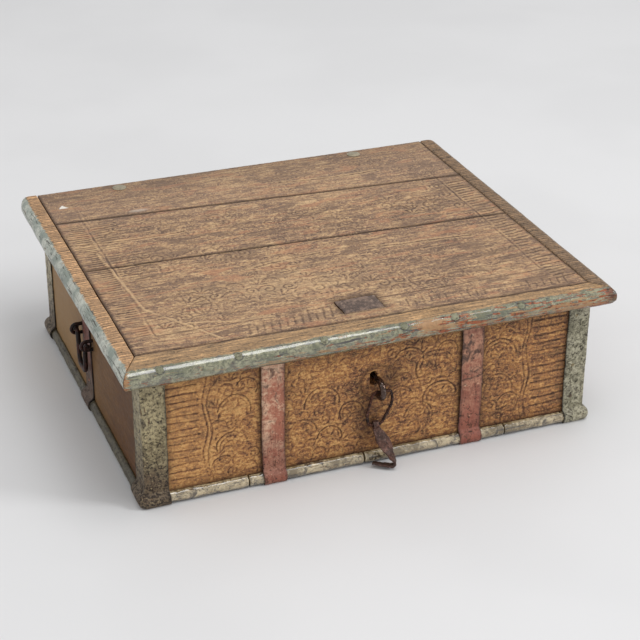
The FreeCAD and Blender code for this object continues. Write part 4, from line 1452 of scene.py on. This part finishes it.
@dataclass
class WornCopies:
    """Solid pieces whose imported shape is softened, dented and worn."""

    grain: Grain = field(default_factory=lambda: Grain(23))

    def worn(
        self, rack: FinishRack, node: str, voxel: float, dents: Dents, relax: int = 4
    ) -> Piece:
        """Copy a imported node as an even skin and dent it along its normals.

        Args:
            rack: The finishes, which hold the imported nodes.
            node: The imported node.
            voxel: The skin's cell size.
            dents: Pairs of a dent's size and depth.
            relax: Rounds of smoothing that soften the edges.

        Returns:
            The worn piece.
        """
        piece = Bench.copy_of(rack.nodes[node], "worn_" + node)
        Bench.modify(piece, "REMESH", mode="VOXEL", voxel_size=voxel)
        Bench.modify(piece, "SMOOTH", factor=0.5, iterations=relax)
        points, normals = Bench.points(piece), Bench.normals(piece)
        shift = sum(depth * self.grain.layers(points, size) for size, depth in dents)
        points = points + normals * shift[:, None]
        points[:, 2] = np.maximum(points[:, 2], 0.1 * MM)
        Bench.place(piece, points)
        Bench.smooth(piece, 60)
        return piece


@dataclass
class LidEdges(WornCopies):
    """The front nosing and the two side mouldings."""

    voxel: float = 1.3 * MM
    ridge_pitch: float = 5.5 * MM
    ridge_depth: float = 0.8 * MM
    nails_x: Sequence[float] = (-281, -184, -75, 30, 99, 190)
    nail_tilt: float = 55.0
    nail_r: float = 5.0 * MM
    patch: Spot = (66 * MM, 193 * MM)
    patch_r: Spot = (24 * MM, 7 * MM)
    dents: Dents = ((30 * MM, 0.6 * MM), (9 * MM, 0.2 * MM))

    def ridges(self, piece: Piece) -> None:
        """Cut cross ridges in a side moulding's flat top.

        Args:
            piece: The moulding.
        """
        points = Bench.points(piece)
        flat = unit((points[:, 2] - (CHEST.lid_top - 1.2 * MM)) / (0.8 * MM))
        drift = self.grain.layers(points, (0.05, 0.03, 0.05)) * 2.2
        wave = 0.5 + 0.5 * np.sin(2 * math.pi * points[:, 1] / self.ridge_pitch + drift)
        cut = flat * wave**2
        points[:, 2] -= cut * self.ridge_depth
        Bench.place(piece, points)
        # Troughs between the ridges are darkened as dirt and painted shade.
        Bench.note(piece, grime=cut * 0.65)

    def wear(self, piece: Piece) -> None:
        """Store the nosing's dirt, the painted shade on its underside and its worn places.

        Args:
            piece: The nosing.
        """
        points = Bench.points(piece)
        x, z = points[:, 0], points[:, 2]
        tilt, half = math.radians(self.nail_tilt), CHEST.lid_t / 2
        nail_y = CHEST.lid_front + half - half * math.cos(tilt)
        nail_z = CHEST.lid_top - half + half * math.sin(tilt)
        gaps = [np.linalg.norm(points - (nail_x * MM, nail_y, nail_z), axis=1) for nail_x in self.nails_x]
        # Dirt rings each nail; the underside is darkened as painted shade; the right end is made darker.
        ring = bell(np.min(gaps, axis=0) - 1.15 * self.nail_r, 0.8 * MM)
        below = unit((CHEST.lid_top - 0.78 * CHEST.lid_t - z) / (4 * MM))
        end = unit((x - 306 * MM) / (14 * MM))
        patch = blot(x, z, self.patch, self.patch_r)
        tip = unit((-312 * MM - x) / (12 * MM))
        foot = bell(z - 183 * MM, 6 * MM)
        Bench.note(piece, grime=most(0.85 * ring, 0.65 * below, 0.6 * end), worn=most(patch, tip, 0.28 * foot))

    def build(self, rack: FinishRack) -> None:
        """Model the nosing and mouldings, and fit them.

        Args:
            rack: The finishes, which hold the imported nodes.
        """
        nosing = self.worn(rack, "lid_nosing", self.voxel, self.dents)
        self.wear(nosing)
        rack.fit(nosing, NOSING_PAINT, Body.LID, "lid_nosing")
        for side, finish in (("left", LEFT_MOULDING_PAINT), ("right", RIGHT_MOULDING_PAINT)):
            moulding = self.worn(rack, "lid_moulding_" + side, self.voxel, self.dents)
            self.ridges(moulding)
            rack.fit(moulding, finish, Body.LID, "lid_moulding_" + side)
        rack.dress(["nosing_nails"], NAIL_PAINT)


@dataclass
class Plinth(WornCopies):
    """The half-round lengths round the foot of the chest."""

    voxel: float = 1.1 * MM
    dents: Dents = ((18 * MM, 0.5 * MM), (5 * MM, 0.35 * MM))

    @staticmethod
    def turn_corners(piece: Piece) -> None:
        """Round a length where it passes a corner of the chest, and make it darker towards its foot.

        Args:
            piece: The length.
        """
        points = Bench.points(piece)
        CHEST.turn(points, CHEST.plinth_flat + CHEST.plinth_r)
        Bench.place(piece, points)
        # The length grows darker towards the floor.
        Bench.note(piece, grime=np.clip(1.2 - points[:, 2] / (5.5 * MM), 0, 0.9))

    def build(self, rack: FinishRack) -> None:
        """Wear the plinth's lengths and fit them.

        Args:
            rack: The finishes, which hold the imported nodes.
        """
        for name in sorted(rack.nodes):
            if name.startswith("plinth_"):
                across = name.startswith("plinth_front") or name == "plinth_back"
                piece = self.worn(rack, name, self.voxel, self.dents, 3)
                self.turn_corners(piece)
                rack.fit(piece, PLINTH_PAINT if across else SHADED_SIDE_PLINTH_PAINT, Body.CHEST, name)


@dataclass
class FrontPanel:
    """The carved front board with its worn keyhole."""

    step: float = 1.12 * MM
    blade: float = 1.45 * MM
    keyhole: Spot = (-0.5 * MM, 120 * MM)
    keyhole_w: float = 11 * MM
    keyhole_h: float = 20 * MM
    scar: Spot = (5 * MM, 113 * MM)
    scar_r: float = 23 * MM
    # The hook's painted shadow on the board below the keyhole, and its reach.
    hook_shadow: Spot = (-9 * MM, 60 * MM)
    hook_shadow_r: Spot = (16 * MM, 45 * MM)
    rubbed: Spot = (25 * MM, 121 * MM)
    rubbed_r: float = 19 * MM
    low: float = 20 * MM
    high: float = 168 * MM
    deep: float = 1.2 * MM
    mild: float = 0.8 * MM
    grain: Grain = field(default_factory=lambda: Grain(37))

    def carving(self, spots: Array) -> Array:
        """Depth of the carving on the front.

        Args:
            spots: Places in the front's plane, one row each.

        Returns:
            Depths below the uncut face.
        """
        carver = Carver(spots, self.blade, self.grain)
        up = np.linspace(self.low, self.high, 30)
        for x, phase in ((-222, 0.0), (-216, 0.4), (216, 1.0), (210, 1.4)):
            carver.stroke(rows(x * MM + 3 * MM * np.sin(up / (12 * MM) + phase), up), self.mild)
        for x0, x1, pitch, seed in ((-212, -152, 20, 3), (152, 206, 20, 8), (-118, 118, 19, 14)):
            carver.foliage((x0 * MM, self.low), (x1 * MM, self.high), pitch * MM, self.mild, seed)
        for x, z, radius, heading in (
            (174, 118, 24, 90), (172, 68, 23, 90), (165, 92, 14, 180), (190, 45, 15, 60),
            (-184, 112, 21, 80), (-188, 62, 20, 100), (-168, 140, 14, 60), (-200, 36, 14, 120),
            (48, 134, 20, 60), (84, 118, 26, 110), (92, 74, 24, 100), (62, 52, 20, 80),
            (100, 140, 15, 70), (36, 84, 17, 120), (-70, 96, 24, 90), (-40, 130, 18, 70),
            (-96, 60, 19, 100), (-60, 46, 17, 80), (-30, 76, 16, 110),
        ):
            carver.scallop((x * MM, z * MM), radius * MM, heading, self.deep)
        for share in (1.0, 0.86):
            carver.arc(self.scar, self.scar_r * share, 20, 330, self.mild)
        return carver.depth

    def flutes(self, x: Array, z: Array) -> Array:
        """Depth of the level furrows beside the corner straps.

        Args:
            x: Places along the front.
            z: Their heights.

        Returns:
            Depths below the uncut face.
        """
        places = rows(x, 0, z)
        depth = np.zeros(len(x))
        for x0, x1, pitch in ((-272 * MM, -227 * MM, 9.8 * MM), (221 * MM, 273 * MM, 11.4 * MM)):
            bend = 2.2 * MM * self.grain.layers(places, (0.03, 1, 0.016))
            wave = np.abs(np.sin(math.pi * (z + bend) / pitch))
            ends = unit(np.minimum(x - x0, x1 - x) / (3 * MM) + self.grain.at(places, 9 * MM))
            depth = np.maximum(depth, ends * 1.1 * MM * (1 - wave) ** 3)
        return depth * unit((z - self.low) / (4 * MM))

    def relief(self, x: Array, z: Array) -> Array:
        """Depth of everything that is cut into the front.

        Args:
            x: Places along the front.
            z: Their heights.

        Returns:
            Depths below the uncut face.
        """
        places = rows(x, 0, z)
        wear = np.clip(0.75 + 0.7 * self.grain.layers(places, 0.035), 0.3, 1.0)
        spots = rows(x, z)
        groove, crown = self.grain.scales(spots, 7.5 * MM)
        lines = np.maximum(0.7 * self.grain.scribble(places, 9 * MM), 0.4 * groove)
        leaf = unit(np.minimum(x + 225 * MM, 220 * MM - x) / (6 * MM))
        cut = np.maximum(self.carving(spots) * wear, 0.55 * MM * lines * leaf * (0.4 + 0.6 * wear))
        return np.maximum(cut, self.flutes(x, z) * wear) + 0.2 * MM * (1 - crown) * leaf

    def build(self, rack: FinishRack) -> None:
        """Model the front board and fit it.

        Args:
            rack: The finishes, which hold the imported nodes.
        """
        half_w, face = CHEST.half_w, -CHEST.half_d
        piece = Bench.grid("carved_front", int(2 * half_w / self.step), int(CHEST.rim_z / self.step))
        share = Bench.points(piece)[:, :2] + 0.5
        x, z = (share[:, 0] - 0.5) * 2 * half_w, share[:, 1] * CHEST.rim_z
        depth = self.relief(x, z)
        rise = Bench.rise(piece, depth, 3)
        wave = 0.35 * MM * (1 + self.grain.layers(rows(x, 0, z), (0.1, 1, 0.03)))
        Bench.place(piece, rows(x, face + depth + wave, z))
        # Crests and the left end painted pale as highlight and light; hollows painted dark as shade with dirt.
        pale = 0.3 * unit((-150 * MM - x) / (50 * MM))
        Bench.note(piece, carve=unit(-rise / (0.6 * MM)), high=unit(rise / (0.5 * MM) + pale))
        Bench.skirt(piece, [(0, CHEST.lap, 0)])
        points = Bench.points(piece)
        points[points[:, 1] > face + CHEST.lap / 2, 1] = face + CHEST.lap
        Bench.place(piece, points)
        self.rebate(piece)
        self.cut_keyhole(piece)
        self.mark(piece)
        Bench.smooth(piece)
        rack.fit(piece, FRONT_WOOD, Body.CHEST, "front_panel")

    @staticmethod
    def rebate(piece: Piece) -> None:
        """Build up the inner half of the board, inside the side walls and above the bottom boards.

        Args:
            piece: The board.
        """
        inner = CHEST.half_w - CHEST.wall_t
        back = -CHEST.half_d + CHEST.lap

        def rear(middle: Array, normal: Array) -> Array:
            """The board's back faces."""
            return (normal[:, 1] > 0.9) & (middle[:, 1] > back - 0.1 * MM)

        def inside(middle: Array, normal: Array) -> Array:
            """The back faces that lie between the walls and above the bottom boards."""
            return rear(middle, normal) & (np.abs(middle[:, 0]) < inner) & (middle[:, 2] > CHEST.floor_t)

        across, up = (1, 0, 0), (0, 0, 1)
        for spot, normal in (((-inner, 0, 0), across), ((inner, 0, 0), across), ((0, 0, CHEST.floor_t), up)):
            Bench.choose(piece, rear)
            with Bench.editing(piece):
                bpy.ops.mesh.bisect(plane_co=spot, plane_no=normal)
        Bench.choose(piece, inside)
        Bench.push(piece, (0, CHEST.wall_t - CHEST.lap, 0))

    def cut_keyhole(self, piece: Piece) -> None:
        """Cut the worn keyhole right through the board.

        Args:
            piece: The board.
        """
        Bench.clear()
        bpy.ops.mesh.primitive_cylinder_add(
            vertices=24, radius=self.keyhole_w / 2, depth=4 * CHEST.wall_t, rotation=(math.pi / 2, 0, 0),
            location=(self.keyhole[0], -CHEST.half_d, self.keyhole[1] - (self.keyhole_h - self.keyhole_w) / 2),
        )
        cutter = bpy.context.object
        bpy.ops.object.transform_apply(location=True, rotation=True)
        points = Bench.points(cutter)
        upper = points[:, 2] > points[:, 2].mean() + 0.1 * MM
        points[upper, 2] += self.keyhole_h - self.keyhole_w
        Bench.place(cutter, points)
        Bench.modify(piece, "BOOLEAN", object=cutter, operation="DIFFERENCE", solver="EXACT")
        bpy.data.objects.remove(cutter)

    def mark(self, piece: Piece) -> None:
        """Store the dirt and painted shade beside straps and edges, the hook's painted shadow and the
        stains round the ironwork on the board's points.

        Args:
            piece: The board.
        """
        x, y, z = Bench.points(piece).T
        strap = np.abs(np.abs(x) - CHEST.front_strap_x) - CHEST.front_strap_w / 2
        corner = CHEST.half_w - CHEST.leaf_x - np.abs(x)
        edge = np.minimum(np.minimum(z - CHEST.floor_t, CHEST.rim_z - z), np.minimum(strap, corner))
        # Darker along the board's edges and beside the straps: dirt and painted shade.
        grime = 0.8 * np.exp(-unit(edge) / (5 * MM))
        ring = bell(np.hypot(x - self.scar[0], z - self.scar[1]) - self.scar_r, 3.5 * MM)
        # Painted shadow of the hook below the keyhole; the ring and the rubbed patch are stains.
        behind = blot(x, z, self.hook_shadow, self.hook_shadow_r)
        rubbed = bell(np.hypot(x - self.rubbed[0], z - self.rubbed[1]), self.rubbed_r)
        # Painted shadow down the left edge of each front strap, where it stands off the board.
        left = [side * CHEST.front_strap_x - CHEST.front_strap_w / 2 - 0.8 * MM for side in (-1, 1)]
        strap_shadow = bell(np.min([np.abs(x - spot) for spot in left], axis=0), 1.7 * MM)
        grime = most(grime, 0.7 * np.maximum(ring, 0.85 * behind), 0.62 * rubbed, strap_shadow)
        Bench.note(piece, grime=np.where(y < -CHEST.half_d + 4 * MM, grime, 0))


@dataclass
class Straps:
    """Iron straps: sheets that run up from the floor, over the plinth and up the walls."""

    step: float = 1.3 * MM
    lap_z: float = 95 * MM
    grain: Grain = field(default_factory=lambda: Grain(53))

    def path(self) -> Array:
        """The outer face's run from the floor up, as distances from the wall and heights.

        Returns:
            Evenly spaced points, one row each.
        """
        out, hollow, nose_r = CHEST.strap_out, CHEST.strap_foot_r, CHEST.plinth_r
        radius = nose_r + out
        bend_x = out + hollow
        bend_z = nose_r + math.sqrt((radius + hollow) ** 2 - (bend_x - CHEST.plinth_flat) ** 2)
        meet = math.atan2(bend_z - nose_r, bend_x - CHEST.plinth_flat)
        over = np.linspace(-math.asin(nose_r / radius), meet, 40)
        under = np.linspace(meet + math.pi, math.pi, 20)
        line = np.concatenate([
            rows(CHEST.plinth_flat + radius * np.cos(over), nose_r + radius * np.sin(over)),
            rows(bend_x + hollow * np.cos(under), bend_z + hollow * np.sin(under))[1:],
            [[out, CHEST.strap_top]],
        ])
        run = np.concatenate([[0], np.cumsum(np.linalg.norm(np.diff(line, axis=0), axis=1))])
        even = np.linspace(0, run[-1], int(run[-1] / self.step) + 1)
        return rows(*(np.interp(even, run, line[:, k]) for k in (0, 1)))

    def sheet(
        self,
        name: str,
        width: float,
        lay: Layer,
        outward: Sequence[float],
        seed: float,
        lap_z: float | None = None,
    ) -> Piece:
        """Model one strap as a hammered sheet with a thickness.

        Args:
            name: The piece's name.
            width: Its width across.
            lay: Takes places across, distances from the wall and heights, and gives points in space.
            outward: A direction out of the wall.
            seed: A shift that makes each strap's dents its own.
            lap_z: The height where two lengths lap, on a strap made of two.

        Returns:
            The strap.
        """
        path = self.path()
        piece = Bench.grid(name, int(width / self.step), len(path) - 1)
        share = Bench.points(piece)[:, :2] + 0.5
        row = share[:, 1] * (len(path) - 1)
        out, z = (np.interp(row, np.arange(len(path)), path[:, k]) for k in (0, 1))
        across = share[:, 0] * width
        seeds = rows(across, seed, row * self.step)
        dent = 0.6 * MM * self.grain.layers(seeds, (0.05, 1, 0.02))
        dent = dent + 0.3 * MM * self.grain.layers(seeds, 6 * MM)
        edge = np.minimum(share[:, 0], 1 - share[:, 0]) * width
        curl = 0.5 * MM * self.grain.layers(seeds, (1, 1, 0.035)) * np.exp(-edge / (3 * MM))
        wobble = 0.9 * MM * self.grain.layers(seeds, (1, 1, 0.03)) * np.exp(-edge / (4 * MM))
        # Edges and the lap are darkened as dirt and painted shade.
        dirt = 0.75 * np.exp(-edge / (1.6 * MM))
        if lap_z is not None:
            line = lap_z + 3 * MM * (share[:, 0] - 0.5) + 1.2 * MM * self.grain.layers(seeds, (0.008, 1, 1))
            dent = dent + 0.9 * MM * unit((line - z) / (1.5 * MM)) * unit(z / line - 0.3)
            dirt = np.maximum(dirt, 0.8 * bell(z - line, 1.2 * MM))
        points = lay(across + wobble, out + dent + curl, z)
        points[:, 2] = np.maximum(points[:, 2], 0.2 * MM)
        Bench.place(piece, points)
        Bench.note(piece, grime=unit(dirt * (1 + 0.6 * self.grain.layers(seeds, 9 * MM))))
        if Bench.normals(piece).mean(axis=0) @ np.array(outward) < 0:
            with Bench.editing(piece):
                bpy.ops.mesh.select_all(action="SELECT")
                bpy.ops.mesh.flip_normals()
        Bench.modify(piece, "SOLIDIFY", thickness=CHEST.strap_t, offset=-1)
        Bench.smooth(piece, 50)
        return piece

    def corner(self, name: str, sx: int, sy: int) -> Piece:
        """Model a corner strap: a leaf on the front or back, turned onto the side.

        Args:
            name: The piece's name.
            sx: -1 for the left side, 1 for the right.
            sy: -1 for the front, 1 for the back.

        Returns:
            The strap.
        """

        def lay(across: Array, out: Array, z: Array) -> Array:
            """Points round the corner, from the front or back onto the side.

            Args:
                across: Places along the strap's width.
                out: Distances from the walls.
                z: Heights.

            Returns:
                The points, one row each.
            """
            first = np.clip(across / CHEST.leaf_x, None, 1)
            second = np.clip((across - CHEST.leaf_x) / CHEST.leaf_y, 0, None)
            x = CHEST.half_w - CHEST.leaf_x + (CHEST.leaf_x + out) * first
            y = CHEST.half_d + out - (CHEST.leaf_y + out) * second
            points = rows(sx * x, sy * y, z)
            CHEST.turn(points, out)
            return points

        return self.sheet(name, CHEST.leaf_x + CHEST.leaf_y, lay, (sx, sy, 0), 3.0 * sx + sy)

    def front(self, name: str, sx: int) -> Piece:
        """Model a strap on the front wall, the right one lapped from two lengths.

        Args:
            name: The piece's name.
            sx: -1 for the left one, 1 for the right.

        Returns:
            The strap.
        """

        def lay(across: Array, out: Array, z: Array) -> Array:
            """Points on the front wall."""
            x = sx * CHEST.front_strap_x + across - CHEST.front_strap_w / 2
            return rows(x, -CHEST.half_d - out, z)

        lap_z = self.lap_z if sx > 0 else None
        return self.sheet(name, CHEST.front_strap_w, lay, (0, -1, 0), 7.0 * sx, lap_z)

    def side(self, name: str, sx: int) -> Piece:
        """Model a strap on a side wall.

        Args:
            name: The piece's name.
            sx: -1 for the left side, 1 for the right.

        Returns:
            The strap.
        """

        def lay(across: Array, out: Array, z: Array) -> Array:
            """Points on the side wall."""
            y = CHEST.side_strap_y + across - CHEST.side_strap_w / 2
            return rows(sx * (CHEST.half_w + out), y, z)

        return self.sheet(name, CHEST.side_strap_w, lay, (sx, 0, 0), 11.0 * sx)

    def build(self, rack: FinishRack) -> None:
        """Model every strap and fit it.

        Args:
            rack: The finishes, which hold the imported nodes.
        """
        for side, sx in (("left", -1), ("right", 1)):
            for end, sy in (("front", -1), ("back", 1)):
                strap = self.corner(f"corner_sheet_{end}_{side}", sx, sy)
                green = GREEN_STRAP if sx < 0 else RIGHT_GREEN_STRAP
                rack.fit(strap, green, Body.CHEST, f"corner_strap_{end}_{side}")
            red = RED_STRAP if sx < 0 else RIGHT_RED_STRAP
            rack.fit(self.front("front_sheet_" + side, sx), red, Body.CHEST, "front_strap_" + side)
            rack.fit(self.side("side_sheet_" + side, sx), SHADED_SIDE_RED_STRAP, Body.CHEST, "side_strap_" + side)

        def at_corner(middle: Array, normal: Array) -> Array:
            """The faces of nails in the corner straps."""
            start = (CHEST.half_w - CHEST.leaf_x, CHEST.half_d - CHEST.leaf_y)
            return (np.abs(middle[:, :2]) > start).all(axis=1)

        def on_wall(middle: Array, normal: Array) -> Array:
            """The faces of all other nails."""
            return ~at_corner(middle, normal)

        for name, others, finish in (
            ("corner_nails", on_wall, GREEN_STRAP), ("wall_nails", at_corner, RED_STRAP),
        ):
            nails = Bench.copy_of(rack.nodes["strap_nails"], name)
            Bench.trim(nails, others)
            rack.fit(nails, finish, Body.CHEST, "strap_nails")


@dataclass
class Ironwork(WornCopies):
    """The hasp, the drop handles and the hinges."""

    voxel: float = 0.6 * MM
    dents: Dents = ((9 * MM, 0.45 * MM), (3 * MM, 0.25 * MM))
    hook_dents: Dents = ((7 * MM, 1.3 * MM), (3 * MM, 0.6 * MM))

    def build(self, rack: FinishRack) -> None:
        """Forge the moving ironwork and dress the rest.

        Args:
            rack: The finishes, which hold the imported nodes.
        """
        staples = [f"handle_staple_{side}_{end}" for side in ("left", "right") for end in ("front", "back")]
        for name, finish, body in (
            ("hasp_staple", BRIGHT_IRON, Body.CHEST),
            ("hasp_link", LINK_IRON, Body.LINK),
            ("hasp_hook", HOOK_IRON, Body.HOOK),
            ("handle_bail_left", HANDLE_IRON, Body.LEFT_BAIL),
            ("handle_bail_right", HANDLE_IRON, Body.RIGHT_BAIL),
            *((staple, HANDLE_IRON, Body.CHEST) for staple in staples),
        ):
            dents = self.hook_dents if name == "hasp_hook" else self.dents
            rack.fit(self.worn(rack, name, self.voxel, dents, 2), finish, body, name)
        rack.dress([name for name in sorted(rack.nodes) if name.startswith("hinge_")], IRON)
        rack.dress(["hinge_rivets"], RIVET_IRON)
        rack.dress(["batten_nails"], IRON)


@dataclass
class PlainBoards:
    """Walls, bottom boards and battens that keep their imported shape."""

    def build(self, rack: FinishRack) -> None:
        """Dress the plain boards.

        Args:
            rack: The finishes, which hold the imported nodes.
        """
        rack.dress(["left_panel", "right_panel"], SHADED_SIDE_WOOD)
        rack.dress(["back_panel"], BACK_WOOD)
        inner = [name for name in sorted(rack.nodes) if name.startswith(("bottom_board", "lid_batten"))]
        rack.dress(inner, INNER_WOOD)


@dataclass(frozen=True)
class Softbox:
    """A square soft light."""

    name: str
    spot: tuple[float, float, float]
    size: float
    watts: float
    aim: tuple[float, float, float] = (0.0, 0.0, 0.1)

    def hang(self) -> None:
        """Hang the light so that it faces its aim."""
        data = bpy.data.lights.new(self.name, "AREA")
        data.size, data.energy = self.size, self.watts
        light = bpy.data.objects.new(self.name, data)
        facing = (Vector(self.aim) - Vector(self.spot)).to_track_quat("-Z", "Y")
        light.matrix_world = Matrix.Translation(self.spot) @ facing.to_matrix().to_4x4()
        bpy.context.scene.collection.objects.link(light)


@dataclass
class Studio:
    """The camera, the lights and the pale floor."""

    eye: Sequence[float] = (-0.73195, -1.95279, 1.15735)
    ahead: Sequence[float] = (0.32112273, 0.82838028, -0.458984)
    up: Sequence[float] = (0.16367921, 0.42881219, 0.88844202)
    lens: float = 95.387
    sensor: float = 36.0
    floor_size: float = 14.0
    floor_tone: Colour = (222, 222, 223)
    sky: float = 0.71
    lights: Sequence[Softbox] = (
        Softbox("overhead", (0.38, -0.52, 2.6), 1.3, 19.5),
        Softbox("key", (7.4, -4.4, 5.4), 2.4, 320),
    )

    def camera(self) -> None:
        """Set the camera where the photograph was taken from."""
        data = bpy.data.cameras.new("camera")
        data.lens, data.sensor_width = self.lens, self.sensor
        camera = bpy.data.objects.new("camera", data)
        ahead, up = Vector(self.ahead).normalized(), Vector(self.up).normalized()
        right = ahead.cross(up).normalized()
        turn = Matrix((right, right.cross(ahead), -ahead)).transposed()
        camera.matrix_world = Matrix.Translation(self.eye) @ turn.to_4x4()
        bpy.context.scene.collection.objects.link(camera)
        bpy.context.scene.camera = camera

    def floor(self) -> None:
        """Lay the floor and give it a faintly uneven pale tone."""
        Bench.clear()
        bpy.ops.mesh.primitive_plane_add(size=self.floor_size)
        floor = bpy.context.object
        floor.name = "floor"
        graph = Graph("pale_floor")
        cloud = graph.noise(0.5, 3, 0.5)
        tone = graph.mix(self.floor_tone, toned(self.floor_tone, 0.985), cloud.band(0.4, 0.6))
        floor.data.materials.append(graph.surface(Base_Color=tone, Roughness=0.6, Specular_IOR_Level=0.25))

    def build(self) -> None:
        """Set up the camera, the lights, the sky and the floor."""
        scene = bpy.context.scene
        scene.view_settings.view_transform = "Standard"
        world = scene.world or bpy.data.worlds.new("world")
        scene.world = world
        world.use_nodes = True
        sky = world.node_tree.nodes["Background"]
        sky.inputs["Color"].default_value = (1.0, 1.0, 1.0, 1.0)
        sky.inputs["Strength"].default_value = self.sky
        for light in self.lights:
            light.hang()
        self.camera()
        self.floor()


def main() -> None:
    """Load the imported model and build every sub-assembly."""
    logging.basicConfig(level=logging.INFO, format="%(name)s %(message)s")
    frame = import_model()
    rack = FinishRack(frame["nodes"])
    Studio().build()
    for assembly in (CarvedLid(), LidEdges(), FrontPanel(), Straps(), Plinth(), Ironwork(), PlainBoards()):
        assembly.build(rack)
        LOG.info("%s done", type(assembly).__name__)
    Bench.clear()


if __name__ == "__main__":
    main()
